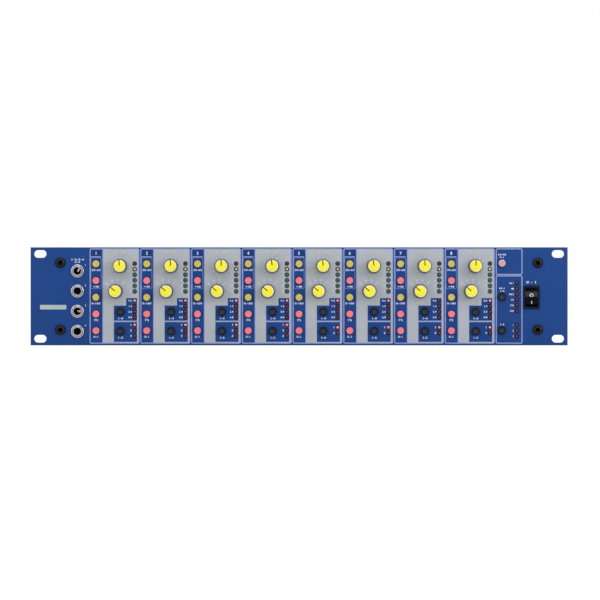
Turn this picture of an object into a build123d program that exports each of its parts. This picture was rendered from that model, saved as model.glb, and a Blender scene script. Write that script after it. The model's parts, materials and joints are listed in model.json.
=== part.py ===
from build123d import *
import math
import os

# A two-unit rack microphone preamplifier with eight channels.
# Millimetres. X runs to the right as seen from the front, Y to the back and Z up.
# The origin is the centre of the four rack slots, on the rear face of the front panel.

# ---------------------------------------------------------------- front panel
rack_width = 482.6
panel_height = 88.1
panel_thickness = 3.0
panel_edge_chamfer = 0.4
slot_inset_x = 8.75
slot_inset_z = 5.95
slot_length = 11.0
slot_width = 6.9

# ---------------------------------------------------------------- case
ear_width = 20.3
panel_overhang = 1.05
case_depth = 270.0
tray_wall = 1.5
cover_wall = 1.2
sheet_gap = 0.2
bend_radius = 1.2
cover_side_lip = 14.0
cover_rear_lip = 10.0
cover_rear_lip_inset = 8.0
cover_bend_radius = 0.96
rear_side_lip = 12.0
vent_width = 3.0
vent_pitch = 8.0
vent_length = 44.0
side_vent_length = 34.0
side_vent_z = -4.0
side_vent_reach = 9
side_vent_group = 5
board_vent_x = (-180.0, 60.0)
board_vent_front = 81.0
board_vent_rear_gap = 102.6
transformer_vent_half = 34.0
transformer_vent_front = 81.0
transformer_vent_rear_gap = 70.2

# ---------------------------------------------------------------- fasteners
thread_gap = 0.05
screw_clearance = 0.2
hole_cutter_length = 12.0
case_screw_radius = 1.5
case_screw_head_radius = 2.75
case_screw_head_height = 1.8
case_screw_head_edge = 0.72
case_screw_recess_length = 2.8
case_screw_recess_width = 0.7
case_screw_recess_depth = 1.0
case_screw_length = 6.0
panel_screw_radius = 2.5
panel_screw_head_radius = 4.75
panel_screw_head_height = 2.75
panel_screw_head_edge = 1.5
panel_screw_hole_radius = 2.7
panel_screw_socket_flats = 3.0
panel_screw_socket_depth = 1.8
panel_screw_inset_x = 26.8
panel_screw_inset_z = 13.95
panel_nut_flats = 8.0
panel_nut_height = 4.0
tab_height = 20.0
tab_width = 10.5

# ---------------------------------------------------------------- channel strips
channels = 8
channel_pitch = 45.6
first_column_inset = 58.85
lit_rows = {"range": 29.1, "phantom": 14.1, "phase": -0.9, "filter": -15.9, "insert": -30.9}
black_places = {"impedance": (21.9, -13.9), "input": (21.9, -31.2)}
trim_place = (21.6, 27.1)
gain_place = (17.6, 4.5)

# ---------------------------------------------------------------- buttons
lit_button_radius = 3.15
black_button_radius = 3.3
button_gap = 0.4
button_height = 4.0
button_edge = 0.5
button_dish = 0.7
button_travel = 2.0
button_back = 3.5
stem_width = 3.0
stem_gap = 0.15
stem_reach = 2.0
switch_width = 8.5
switch_front = 6.0
switch_corner = 0.6

# ---------------------------------------------------------------- knobs
knob_radius = 6.5
knob_height = 14.2
knob_gap = 0.8
knob_cap_radius = 5.55
knob_cap_thickness = 2.0
knob_cap_seat = 0.8
knob_edge = 0.5
knob_cap_edge = 0.4
pointer_width = 1.1
pointer_depth = 0.5
pointer_overrun = 0.5
shaft_radius = 3.0
shaft_gap = 0.05
shaft_hole_gap = 0.5
shaft_in_knob = 11.0
shaft_in_pot = 9.0
pot_collar_radius = 4.5
pot_front = 5.5
trim_pot_width = 11.0
trim_pot_height = 12.5
trim_pot_corner = 1.0
gain_switch_width = 16.0
gain_switch_corner = 2.0
trim_rest_angles = (-5, 0, -3, -8, -4, -9, -3, 0)
gain_rest_angle = -48

# ---------------------------------------------------------------- LEDs
led_radius = 1.5
led_gap = 0.1
led_proud = 1.0
led_flange_radius = 1.9
led_flange_depths = (1.0, 2.0)
led_spacer_radius = 1.7
led_offset = 34.7
led_pitch = 5.0
meter_top = 29.4
impedance_led_top = -3.8
input_led_top = -25.6
input_led_top_short = -27.9
short_channel = 5
unlit_channel = 7

# ---------------------------------------------------------------- clock section
section_button_inset = 59.0
section_led_inset = 45.7
section_buttons = {"converter": 29.8, "clock": -0.5, "sync": -30.6}
lit_section_button = "converter"
clock_led_top = 11.9
sync_led_top = -25.8

# ---------------------------------------------------------------- jacks
jack_inset = 42.1
jack_top = 22.8
jack_pitch = 18.1
jack_count = 4
jack_bore_radius = 3.25
jack_bush_radius = 4.5
jack_bush_proud = 0.4
jack_hole_radius = 4.7
jack_nut_radius = 6.0
jack_nut_height = 2.0
jack_nut_edge = 0.5
jack_washer_thickness = 0.8
jack_bush_depth = 6.0
jack_housing_width = 15.4
jack_housing_height = 16.4
jack_housing_corner = 1.5
jack_depth = 30.0
jack_floor = 2.0
jack_contact_gap = 0.15

# ---------------------------------------------------------------- mains rocker
rocker_inset = 32.5
rocker_z = -0.9
bezel_width = 14.6
bezel_height = 21.1
bezel_proud = 1.6
bezel_corner = 1.0
bezel_edge = 0.5
opening_width = 11.2
opening_height = 16.8
switch_case_width = 13.0
switch_case_height = 19.0
switch_case_depth = 16.0
switch_case_floor = 3.6
switch_cut_gap = 0.1
rocker_side_gap = 0.2
rocker_pivot_behind_front = 1.5
rocker_lean = 11.0
rocker_front_angle = 30.0
rocker_back_angle = 20.0
rocker_waist = 3.2
rocker_pin_radius = 1.0
rocker_pin_length = 0.7

# ---------------------------------------------------------------- control board
board_thickness = 1.6
control_board_front = 12.0
control_board_left_inset = 51.8
control_board_right_inset = 40.8
control_board_margin = 3.0
pillar_radius = 2.75
pillar_spigot_radius = 1.4
pillar_hole_gap = 0.1
pillar_nut_height = 2.0
pillar_offset = 10.5
pillar_rows = (-37.0, 37.0)
pillar_channels = (0, 2, 5, 7)
main_pillar_channels = (0, 3, 7)
main_pillar_front = 30.0
main_pillar_inset = 6.0
power_pillar_inset = 5.0
instrument_board_margin = 1.0

# ---------------------------------------------------------------- rear sockets
mic_inset = 21.0
mic_pitch = 27.0
mic_flange_width = 26.0
mic_flange_height = 31.0
mic_flange_thickness = 2.0
mic_flange_corner = 3.0
mic_barrel_radius = 12.0
mic_depth = 24.0
mic_core_radius = 8.0
mic_groove_radius = 9.6
mic_groove_depth = 12.0
mic_contact_radius = 1.3
mic_contact_circle = 4.6
mic_contact_angles = (30, 150, 270)
mic_screw_x = 9.5
mic_screw_z = 12.0
rear_cut_gap = 0.2
line_x = 38.0
line_rows = (24.0, 0.0, -24.0)
line_flange_width = 53.0
line_flange_height = 12.5
line_flange_thickness = 1.0
line_flange_corner = 1.2
line_shell_width = 39.0
line_shell_height = 8.4
line_shell_reach = 6.0
line_slope = 10.0
line_corner = 2.0
line_rim_inset = 0.6
line_rim_depth = 0.5
line_back_depth = 10.0
line_post_spacing = 47.04
line_post_radius = 2.6
line_post_bore = 1.4
line_post_height = 5.0
line_stud_reach = 3.0
option_x = 112.0
option_width = 84.0
option_height = 60.0
option_thickness = 1.5
option_corner = 1.5
option_cut_margin = 7.0
option_cut_corner = 2.0
option_screw_inset = 3.6

# ---------------------------------------------------------------- mains inlet
inlet_inset = 35.0
inlet_flange_width = 50.0
inlet_flange_height = 34.0
inlet_flange_thickness = 2.5
inlet_flange_corner = 3.0
inlet_body_width = 28.0
inlet_body_height = 31.0
inlet_body_depth = 26.0
inlet_cavity_width = 24.2
inlet_cavity_height = 16.4
inlet_cavity_depth = 17.0
inlet_cavity_z = 5.0
inlet_cavity_chamfer = 4.0
inlet_blade_width = 2.0
inlet_blade_height = 4.0
inlet_blade_length = 14.5
inlet_blade_spacing = 7.0
inlet_earth_rise = 3.0
inlet_screw_spacing = 40.0
fuse_z = -10.0
fuse_width = 18.0
fuse_height = 7.0
fuse_depth = 20.0
fuse_gap = 0.2
fuse_lip_width = 20.0
fuse_lip_height = 8.4
fuse_lip_thickness = 1.4
fuse_lip_corner = 0.8
fuse_bay_width = 12.0
fuse_bay_back_wall = 2.0
fuse_bay_front_wall = 3.0
fuse_bay_low = -3.0

# ---------------------------------------------------------------- inside
board_lift = 6.0
main_board_front = 34.0
main_board_side_gap = 10.5
main_board_right = 100.0
board_rear_gap = 32.0
chip_rows = (100.0, 140.0)
chip_width = 10.0
chip_length = 7.0
chip_height = 3.0
capacitor_rows = (122.0, 160.0)
capacitor_offset = 4.0
capacitor_radius = 4.0
capacitor_height = 12.0
transformer_inset = 61.0
transformer_y = 95.0
transformer_radius = 45.0
transformer_bore_radius = 15.0
transformer_height = 38.0
transformer_edge = 8.0
transformer_pad = 2.0
transformer_dish_radius = 36.0
transformer_dish_thickness = 2.0
transformer_bolt_radius = 3.0
transformer_bolt_reach = 8.0
transformer_nut_flats = 10.0
transformer_nut_height = 5.0
input_can_width = 22.0
input_can_length = 34.0
input_can_height = 18.0
input_can_edge = 1.5
input_can_front = 190.0
power_board_width = 92.0
power_board_inset = 9.5
power_board_front = 158.0
terminal_width = 20.0
terminal_front = 3.0
terminal_length = 10.0
terminal_height = 14.0
heat_sink_inset = 12.0
heat_sink_rear_gap = 26.0
heat_sink_depth = 20.0
heat_sink_height = 44.0
heat_sink_base = 4.0
heat_sink_fin = 1.6
heat_sink_fins = 11
reservoir_radius = 9.0
reservoir_height = 32.0
reservoir_offsets = (-24.0, 0.0, 24.0)
reservoir_front = 28.0
regulator_offsets = (-22.0, -8.0, 8.0, 22.0)
regulator_width = 10.0
regulator_thickness = 4.5
regulator_height = 20.0
lead_radius = 2.2
mic_lead_radius = 1.5
lead_bend = 5.0
ribbon_thickness = 1.0
ribbon_width = 30.0
ribbon_z = -12.0
ribbon_channels = (0, 2, 4)
ribbon_offset = -8.0
header_rows = (44.0, 50.0)
header_width = 34.0
header_height = 8.0
line_drop_pitch = 6.0
mic_lead_run = 12.0
jack_lead_y = 44.0
jack_lead_z = -8.0
inlet_lead_run = 9.0
inlet_lead_x = 6.0
inlet_lead_z = 5.0
switch_lead_offset = 3.0
switched_lead_y = 32.0
switched_lead_z = -6.0
switched_lead_drop = 10.0
secondary_lead_z = -10.0
rail_lead_y = 200.0
rail_lead_inset = 6.0

# ---------------------------------------------------------------- derived places
half_width = rack_width / 2
half_height = panel_height / 2
front_y = -panel_thickness
slot_x = half_width - slot_inset_x
slot_z = half_height - slot_inset_z
panel_screw_x = half_width - panel_screw_inset_x
panel_screw_z = half_height - panel_screw_inset_z
case_x = half_width - ear_width
inner_x = case_x - tray_wall
case_top = half_height - panel_overhang
case_bottom = -case_top
floor_z = case_bottom + tray_wall
ceiling_z = case_top - cover_wall
shaft_hole_radius = shaft_radius + shaft_hole_gap
jack_x = jack_inset - half_width
first_column_x = first_column_inset - half_width
section_button_x = half_width - section_button_inset
section_led_x = half_width - section_led_inset
rocker_x = half_width - rocker_inset
rear_inner_y = case_depth - tray_wall
button_front_y = front_y - button_height
control_board_back = control_board_front + board_thickness
board_z = floor_z + board_lift
board_top = board_z + board_thickness
board_rear = case_depth - board_rear_gap
mic_first_x = mic_inset - case_x
inlet_x = case_x - inlet_inset
transformer_x = case_x - transformer_inset
power_board_right = inner_x - power_board_inset
power_board_x = (power_board_right - power_board_width, power_board_right)

cover_screw_rows = (40.0, case_depth / 2, case_depth - 40.0)
cover_side_screw_z = case_top - cover_side_lip / 2
cover_rear_screw_z = case_top - cover_rear_lip / 2
cover_rear_screw_x = (-150.0, -50.0, 50.0, 150.0)
rear_side_screw_y = case_depth - tray_wall - rear_side_lip / 2
rear_side_screw_rows = (-25.0, 25.0)
mic_screws = ((-mic_screw_x, mic_screw_z), (mic_screw_x, -mic_screw_z))

nodes = {}


# ---------------------------------------------------------------- helpers
def block(x, y, z):
    """A box between a low and a high limit on each axis."""
    centre = [(low + high) / 2 for low, high in (x, y, z)]
    size = [high - low for low, high in (x, y, z)]
    return Pos(*centre) * Box(*size)


def slab(outline, y):
    """A plate between two depths, with its outline drawn in X and Z."""
    face_plane = Plane(origin=(0, y[1], 0), x_dir=(1, 0, 0), z_dir=(0, -1, 0))
    return extrude(face_plane * outline, amount=y[1] - y[0])


def bar(radius, y, at=(0, 0)):
    """A round bar along Y between two depths, at a point in X and Z."""
    return slab(Pos(*at) * Circle(radius), y)


def post(radius, z, at):
    """A round upright between two heights, at a point in X and Y."""
    return Pos(at[0], at[1], (z[0] + z[1]) / 2) * Cylinder(radius, z[1] - z[0])


def turned(points):
    """A body of revolution about Y, from a closed profile of (radius, depth) points."""
    return revolve(make_face(Polyline(*points, close=True)), Axis.Y)


def placed(template, places):
    """A copy of the template at each point in X and Z."""
    return [Pos(x, 0, z) * template for x, z in places]


def tube(points, radius, bend):
    """A round lead that follows straight runs joined by arcs."""
    path = FilletPolyline(*points, radius=bend)
    start = Plane(origin=path @ 0, z_dir=path % 0)
    return sweep(start * Circle(radius), path=path)


def add(name, *pieces):
    """Put pieces in the node with this name."""
    nodes.setdefault(name, []).extend(pieces)


def channel_x(channel, offset=0.0):
    """X of a place in a channel, counted from 0, measured from its column of lit buttons."""
    return first_column_x + channel_pitch * channel + offset


def mic_x(channel):
    """X of a channel's microphone socket."""
    return mic_first_x + mic_pitch * channel


# ---------------------------------------------------------------- places on the panel
def jack_places():
    return [(jack_x, jack_top - jack_pitch * i) for i in range(jack_count)]


def panel_screw_places():
    return [(x, z) for x in (-panel_screw_x, panel_screw_x) for z in (-panel_screw_z, panel_screw_z)]


def knob_places(offset):
    return [(channel_x(channel, offset[0]), offset[1]) for channel in range(channels)]


def button_places(function):
    """Places of one channel button in all channels."""
    if function in lit_rows:
        return [(channel_x(channel), lit_rows[function]) for channel in range(channels)]
    x, z = black_places[function]
    return [(channel_x(channel, x), z) for channel in range(channels)]


def section_place(name):
    return (section_button_x, section_buttons[name])


def led_places():
    """Places of the LEDs by node."""
    places = {"leds_red": [], "leds_red_lit": [], "leds_amber": [], "leds_green": []}
    for channel in range(1, channels + 1):
        x = channel_x(channel - 1, led_offset)
        meter = [(x, meter_top - led_pitch * i) for i in range(6)]
        places["leds_red"].append(meter[0])
        places["leds_amber"].append(meter[1])
        places["leds_green"].extend(meter[2:])
        impedance = [(x, impedance_led_top - led_pitch * i) for i in range(4)]
        lit_node = "leds_red" if channel == unlit_channel else "leds_red_lit"
        places[lit_node].append(impedance[0])
        places["leds_red"].extend(impedance[1:])
        short = channel >= short_channel
        top = input_led_top_short if short else input_led_top
        inputs = [(x, top - led_pitch * i) for i in range(2 if short else 3)]
        places["leds_red_lit"].append(inputs[0])
        places["leds_red"].extend(inputs[1:])
    for top, count in ((clock_led_top, 6), (sync_led_top, 3)):
        places["leds_red"].extend((section_led_x, top - led_pitch * i) for i in range(count))
    return places


# ---------------------------------------------------------------- fasteners
def case_screw():
    """A cross-head case screw along Z, with its head above z = 0."""
    head = Pos(0, 0, case_screw_head_height / 2) * Cylinder(case_screw_head_radius, case_screw_head_height)
    head = fillet(head.edges().group_by(Axis.Z)[-1], case_screw_head_edge)
    shank = Pos(0, 0, -case_screw_length / 2) * Cylinder(case_screw_radius, case_screw_length)
    long, wide, deep = case_screw_recess_length, case_screw_recess_width, 2 * case_screw_recess_depth
    recess = Pos(0, 0, case_screw_head_height) * (Box(long, wide, deep) + Box(wide, long, deep))
    return head + shank - recess


def screw_hole(radius=case_screw_radius + thread_gap):
    """A hole along Z that is longer than any wall it goes through."""
    return Cylinder(radius, hole_cutter_length)


facing_left = Rot(0, -90, 0)
facing_right = Rot(0, 90, 0)
facing_back = Rot(-90, 0, 0)


def cover_side_frames():
    """Frames of the cover's side screws, on the outside of its lips."""
    x = case_x + cover_wall
    left = [Pos(-x, y, cover_side_screw_z) * facing_left for y in cover_screw_rows]
    right = [Pos(x, y, cover_side_screw_z) * facing_right for y in cover_screw_rows]
    return left + right


def cover_rear_frames():
    return [Pos(x, case_depth + cover_wall, cover_rear_screw_z) * facing_back for x in cover_rear_screw_x]


def rear_side_frames():
    """Frames of the screws that go through the tray's sides into the rear panel's lips."""
    left = [Pos(-case_x, rear_side_screw_y, z) * facing_left for z in rear_side_screw_rows]
    right = [Pos(case_x, rear_side_screw_y, z) * facing_right for z in rear_side_screw_rows]
    return left + right


def mic_frames():
    y = case_depth + mic_flange_thickness
    return [Pos(mic_x(c) + x, y, z) * facing_back for c in range(channels) for x, z in mic_screws]


def option_frames():
    x = option_width / 2 - option_screw_inset
    z = option_height / 2 - option_screw_inset
    y = case_depth + option_thickness
    return [Pos(option_x + i * x, y, j * z) * facing_back for i in (-1, 1) for j in (-1, 1)]


def inlet_frames():
    y = case_depth + inlet_flange_thickness
    return [Pos(inlet_x + i * inlet_screw_spacing / 2, y, inlet_cavity_z) * facing_back for i in (-1, 1)]


def line_post_places():
    return [(line_x + i * line_post_spacing / 2, z) for z in line_rows for i in (-1, 1)]


def make_case_screws():
    screw = case_screw()
    frames = cover_side_frames() + cover_rear_frames() + rear_side_frames()
    frames += mic_frames() + option_frames() + inlet_frames()
    add("case_fasteners", *[frame * screw for frame in frames])


def make_panel_screws():
    """Button-head screws with a hex socket, and their nuts behind the tray's tabs."""
    top = front_y - panel_screw_head_height
    head = bar(panel_screw_head_radius, (top, front_y))
    head = fillet(head.edges().group_by(Axis.Y)[0], panel_screw_head_edge)
    shank = bar(panel_screw_radius, (front_y, tray_wall + panel_nut_height))
    socket = slab(RegularPolygon(panel_screw_socket_flats / 2, 6, major_radius=False),
                  (top, top + panel_screw_socket_depth))
    nut = slab(RegularPolygon(panel_nut_flats / 2, 6, major_radius=False, rotation=30)
               - Circle(panel_screw_radius + thread_gap), (tray_wall, tray_wall + panel_nut_height))
    add("panel_screws", *placed(head + shank - socket, panel_screw_places()))
    add("panel_screws", *placed(nut, panel_screw_places()))


# ---------------------------------------------------------------- case
def make_front_panel():
    slots = [Pos(x, z) * SlotOverall(slot_length, slot_width)
             for x in (-slot_x, slot_x) for z in (-slot_z, slot_z)]
    holes = [Pos(*at) * Circle(panel_screw_hole_radius) for at in panel_screw_places()]
    holes += [Pos(*at) * Circle(jack_hole_radius) for at in jack_places()]
    for place in (trim_place, gain_place):
        holes += [Pos(*at) * Circle(shaft_hole_radius) for at in knob_places(place)]
    for function in lit_rows:
        holes += [Pos(*at) * Circle(lit_button_radius + button_gap) for at in button_places(function)]
    for function in black_places:
        holes += [Pos(*at) * Circle(black_button_radius + button_gap) for at in button_places(function)]
    for name in section_buttons:
        radius = lit_button_radius if name == lit_section_button else black_button_radius
        holes += [Pos(*section_place(name)) * Circle(radius + button_gap)]
    for places in led_places().values():
        holes += [Pos(*at) * Circle(led_radius + led_gap) for at in places]
    cut = Pos(rocker_x, rocker_z) * Rectangle(switch_case_width + 2 * switch_cut_gap,
                                              switch_case_height + 2 * switch_cut_gap)
    panel = slab(Rectangle(rack_width, panel_height) - slots - holes - cut, (front_y, 0))
    rim = panel.faces().sort_by(Axis.Y)[0].outer_wire().edges()
    add("front_panel", chamfer(rim, panel_edge_chamfer))


def make_chassis_tray():
    tray = block((-case_x, case_x), (0, case_depth), (case_bottom, floor_z))
    for low, high in ((-case_x, -inner_x), (inner_x, case_x)):
        tray += block((low, high), (0, case_depth), (case_bottom, ceiling_z))
    corners = tray.edges().filter_by(Axis.Y).group_by(Axis.Z)[0]
    tray = fillet(corners, bend_radius)
    for side in (-1, 1):
        tab_x = sorted((side * inner_x, side * (inner_x - tab_width)))
        for end in (-1, 1):
            tab_z = sorted((end * (panel_screw_z - tab_height / 2), end * (panel_screw_z + tab_height / 2)))
            tray += block(tab_x, (0, tray_wall), tab_z)
    tray -= placed(bar(panel_screw_hole_radius, (0, tray_wall)), panel_screw_places())
    tray -= [frame * screw_hole() for frame in cover_side_frames() + rear_side_frames()]
    vent = Box(2 * case_x + 2, vent_width, side_vent_length)
    steps = [i for i in range(-side_vent_reach, side_vent_reach + 1) if i % side_vent_group]
    tray -= [Pos(0, case_depth / 2 + vent_pitch * i, side_vent_z) * vent for i in steps]
    add("chassis_tray", tray)


def vent_field(x, y, length):
    """Slots that cut through the cover, along Y, between two x limits."""
    count = int((x[1] - x[0]) / vent_pitch) + 1
    slot = SlotOverall(length, vent_width, rotation=90)
    return [Pos(x[0] + vent_pitch * i, y) * slot for i in range(count)]


def make_top_cover():
    lip_x = case_x + cover_wall
    cover = block((-lip_x, lip_x), (sheet_gap, case_depth + cover_wall), (ceiling_z, case_top))
    for low, high in ((-lip_x, -case_x), (case_x, lip_x)):
        cover += block((low, high), (sheet_gap, case_depth), (case_top - cover_side_lip, case_top))
    lip_half = case_x - cover_rear_lip_inset
    lip_y = (case_depth, case_depth + cover_wall)
    cover += block((-lip_half, lip_half), lip_y, (case_top - cover_rear_lip, case_top))
    ridges = cover.edges().filter_by(Axis.Y).group_by(Axis.Z)[-1]
    cover = fillet(ridges, cover_bend_radius)
    cover -= [frame * screw_hole() for frame in cover_side_frames() + cover_rear_frames()]
    transformer_vent_x = (transformer_x - transformer_vent_half, transformer_x + transformer_vent_half)
    slots = vent_field(board_vent_x, board_vent_front, vent_length)
    slots += vent_field(board_vent_x, case_depth - board_vent_rear_gap, vent_length)
    slots += vent_field(transformer_vent_x, transformer_vent_front, vent_length)
    slots += vent_field(transformer_vent_x, case_depth - transformer_vent_rear_gap, vent_length)
    cover -= extrude(Pos(0, 0, ceiling_z - 1) * (Sketch() + slots), amount=cover_wall + 2)
    add("top_cover", cover)


def line_outline(grow=0.0):
    """The D outline of a 25-way connector, wider at the top."""
    half_top = line_shell_width / 2 + grow
    half_low = half_top - math.tan(math.radians(line_slope)) * line_shell_height
    low, high = -line_shell_height / 2 - grow, line_shell_height / 2 + grow
    corners = Polyline((-half_low, low), (half_low, low), (half_top, high), (-half_top, high), close=True)
    face = make_face(corners)
    return fillet(face.vertices(), line_corner)


def make_rear_panel():
    x = inner_x - sheet_gap
    cuts = [Pos(mic_x(c), 0) * Circle(mic_barrel_radius + rear_cut_gap) for c in range(channels)]
    cuts += [Pos(line_x, z) * line_outline(rear_cut_gap) for z in line_rows]
    cuts += [Pos(*at) * Circle(case_screw_radius + thread_gap) for at in line_post_places()]
    cuts.append(Pos(option_x, 0) * RectangleRounded(option_width - 2 * option_cut_margin,
                                                   option_height - 2 * option_cut_margin,
                                                   option_cut_corner))
    cuts.append(Pos(inlet_x, 0) * Rectangle(inlet_body_width + 2 * rear_cut_gap,
                                            inlet_body_height + 2 * rear_cut_gap))
    z = (floor_z, ceiling_z)
    outline = Pos(0, (z[0] + z[1]) / 2) * Rectangle(2 * x, z[1] - z[0])
    panel = slab(outline - cuts, (rear_inner_y, case_depth))
    for side in (-1, 1):
        lip = sorted((side * x, side * (x - tray_wall)))
        panel += block(lip, (rear_inner_y - rear_side_lip, rear_inner_y), z)
    frames = cover_rear_frames() + rear_side_frames() + mic_frames() + option_frames() + inlet_frames()
    panel -= [frame * screw_hole() for frame in frames]
    add("rear_panel", panel)


# ---------------------------------------------------------------- knobs
def make_knob(name, place, angle):
    """A knob with its cap and shaft, with the pointer turned clockwise from upright."""
    back = front_y - knob_gap
    front = back - knob_height
    cap_back = front + knob_cap_seat
    cap_front = cap_back - knob_cap_thickness
    body = bar(knob_radius, (front, back))
    body = chamfer(body.edges().group_by(Axis.Y)[0], knob_edge)
    body -= bar(knob_cap_radius + shaft_gap, (front, cap_back))
    body -= bar(shaft_radius + shaft_gap, (back - shaft_in_knob, back))
    cap = bar(knob_cap_radius, (cap_front, cap_back))
    cap = chamfer(cap.edges().group_by(Axis.Y)[0], knob_cap_edge)
    line = Pos(0, knob_cap_radius / 2) * Rectangle(pointer_width, knob_cap_radius + 2 * pointer_overrun)
    cap -= slab(Rot(0, 0, -angle) * line, (cap_front, cap_front + pointer_depth))
    shaft = bar(shaft_radius, (back - shaft_in_knob, shaft_in_pot))
    add(name, *[Pos(place[0], 0, place[1]) * piece for piece in (body, cap, shaft)])


def make_knobs():
    for channel, at in enumerate(knob_places(trim_place)):
        make_knob(f"trim_knob_{channel + 1}", at, trim_rest_angles[channel])
    for channel, at in enumerate(knob_places(gain_place)):
        make_knob(f"gain_knob_{channel + 1}", at, gain_rest_angle)


def make_pots():
    """Bodies of the trim potentiometers and of the gain switches, on the control board."""
    collar = bar(pot_collar_radius, (sheet_gap, pot_front))
    bore = bar(shaft_radius + shaft_gap, (sheet_gap, shaft_in_pot + sheet_gap))
    depth = (pot_front, control_board_front)
    trim = slab(RectangleRounded(trim_pot_width, trim_pot_height, trim_pot_corner), depth) + collar - bore
    gain = slab(RectangleRounded(gain_switch_width, gain_switch_width, gain_switch_corner), depth)
    gain = gain + collar - bore
    add("control_bodies", *placed(trim, knob_places(trim_place)), *placed(gain, knob_places(gain_place)))


# ---------------------------------------------------------------- buttons
def button(radius, dished):
    """A round button with a square stem, at the origin of X and Z."""
    cap = bar(radius, (button_front_y, button_back))
    cap = fillet(cap.edges().group_by(Axis.Y)[0], button_edge)
    if dished:
        rim = radius - 2 * button_edge
        ball_radius = (rim ** 2 + button_dish ** 2) / (2 * button_dish)
        cap -= Pos(0, button_front_y - ball_radius + button_dish, 0) * Sphere(ball_radius)
    stem = slab(Rectangle(stem_width, stem_width), (button_back, switch_front + stem_reach))
    return cap + stem


def switch_body():
    """The body behind a button, with the square well of its stem."""
    well = Rectangle(stem_width + 2 * stem_gap, stem_width + 2 * stem_gap)
    outline = RectangleRounded(switch_width, switch_width, switch_corner)
    body = slab(outline, (switch_front, control_board_front))
    return body - slab(well, (switch_front, switch_front + stem_reach + button_travel + sheet_gap))


def make_buttons():
    lit = button(lit_button_radius, False)
    black = button(black_button_radius, True)
    functions = [(name, lit) for name in lit_rows] + [(name, black) for name in black_places]
    places = []
    for name, template in functions:
        row = button_places(name)
        add(f"{name}_button_1", *placed(template, row[:1]))
        add(f"{name}_buttons_2_to_{channels}", *placed(template, row[1:]))
        places += row
    for name in section_buttons:
        template = lit if name == lit_section_button else black
        add(f"{name}_button", *placed(template, [section_place(name)]))
        places.append(section_place(name))
    add("control_bodies", *placed(switch_body(), places))


# ---------------------------------------------------------------- LEDs
def make_leds():
    """Domed LEDs that stand on the control board on spacers, seen through the panel."""
    tip = front_y - led_proud
    shoulder = tip + led_radius
    flange_front, flange_back = led_flange_depths
    profile = make_face(
        Polyline((0, tip), (0, control_board_front), (led_spacer_radius, control_board_front),
                 (led_spacer_radius, flange_back), (led_flange_radius, flange_back),
                 (led_flange_radius, flange_front), (led_radius, flange_front), (led_radius, shoulder))
        + RadiusArc((led_radius, shoulder), (0, tip), led_radius))
    led = revolve(profile, Axis.Y)
    for name, places in led_places().items():
        add(name, *placed(led, places))


# ---------------------------------------------------------------- jacks
def make_jacks():
    nut_front = front_y - jack_nut_height
    bush_front = nut_front - jack_bush_proud
    bush = turned([(jack_bore_radius, bush_front), (jack_bush_radius, bush_front),
                   (jack_bush_radius, jack_bush_depth), (jack_bore_radius, jack_bush_depth)])
    nut = turned([(jack_bush_radius + thread_gap, nut_front), (jack_nut_radius - jack_nut_edge, nut_front),
                  (jack_nut_radius, nut_front + jack_nut_edge), (jack_nut_radius, front_y),
                  (jack_bush_radius + thread_gap, front_y)])
    washer = turned([(jack_bush_radius + thread_gap, 0), (jack_nut_radius, 0),
                     (jack_nut_radius, jack_washer_thickness),
                     (jack_bush_radius + thread_gap, jack_washer_thickness)])
    housing = slab(RectangleRounded(jack_housing_width, jack_housing_height, jack_housing_corner),
                   (jack_washer_thickness, jack_depth))
    housing -= bar(jack_bush_radius + thread_gap, (jack_washer_thickness, jack_bush_depth))
    housing -= bar(jack_bore_radius + jack_contact_gap, (jack_bush_depth, jack_depth - jack_floor))
    for piece in (bush, nut, washer):
        add("jack_hardware", *placed(piece, jack_places()))
    add("jack_sockets", *placed(housing, jack_places()))


# ---------------------------------------------------------------- mains rocker
rocker_pivot_y = front_y + rocker_pivot_behind_front
rocker_swing = opening_height / 2 - rocker_side_gap


def arc_point(angle, end):
    """A point (y, z) of the rocker's rounded end, at an angle in front of upright."""
    lean = math.radians(angle)
    return (-rocker_swing * math.sin(lean), end * rocker_swing * math.cos(lean))


def make_switch_bezel():
    outer = RectangleRounded(bezel_width, bezel_height, bezel_corner)
    opening = Rectangle(opening_width, opening_height)
    bezel_front = front_y - bezel_proud
    bezel = slab(outer, (bezel_front, front_y))
    bezel = chamfer(bezel.faces().sort_by(Axis.Y)[0].outer_wire().edges(), bezel_edge)
    bezel += slab(Rectangle(switch_case_width, switch_case_height), (front_y, switch_case_depth))
    bezel -= slab(opening, (bezel_front, switch_case_floor))
    pin_hole = Rot(0, 90, 0) * Cylinder(rocker_pin_radius + thread_gap, switch_case_width)
    bezel -= Pos(0, rocker_pivot_y, 0) * pin_hole
    add("switch_bezel", Pos(rocker_x, 0, rocker_z) * bezel)


def make_power_rocker():
    """A rocker with rounded ends about its pins, leaning with its top pressed in."""
    front_top = arc_point(rocker_front_angle, 1)
    back_top = arc_point(-rocker_back_angle, 1)
    front_low = arc_point(rocker_front_angle, -1)
    back_low = arc_point(-rocker_back_angle, -1)
    tip_top = arc_point(0, 1)
    tip_low = arc_point(0, -1)
    outline = Curve() + [
        Polyline(front_low, (-rocker_waist, 0), front_top),
        ThreePointArc(front_top, tip_top, back_top),
        Line(back_top, back_low),
        ThreePointArc(back_low, tip_low, front_low),
    ]
    width = opening_width - 2 * rocker_side_gap
    side_plane = Plane(origin=(-width / 2, 0, 0), x_dir=(0, 1, 0), z_dir=(1, 0, 0))
    rocker = extrude(side_plane * make_face(outline), amount=width)
    rocker += Rot(0, 90, 0) * Cylinder(rocker_pin_radius, width + 2 * (rocker_side_gap + rocker_pin_length))
    add("power_rocker", Pos(rocker_x, rocker_pivot_y, rocker_z) * Rot(-rocker_lean, 0, 0) * rocker)


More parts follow.
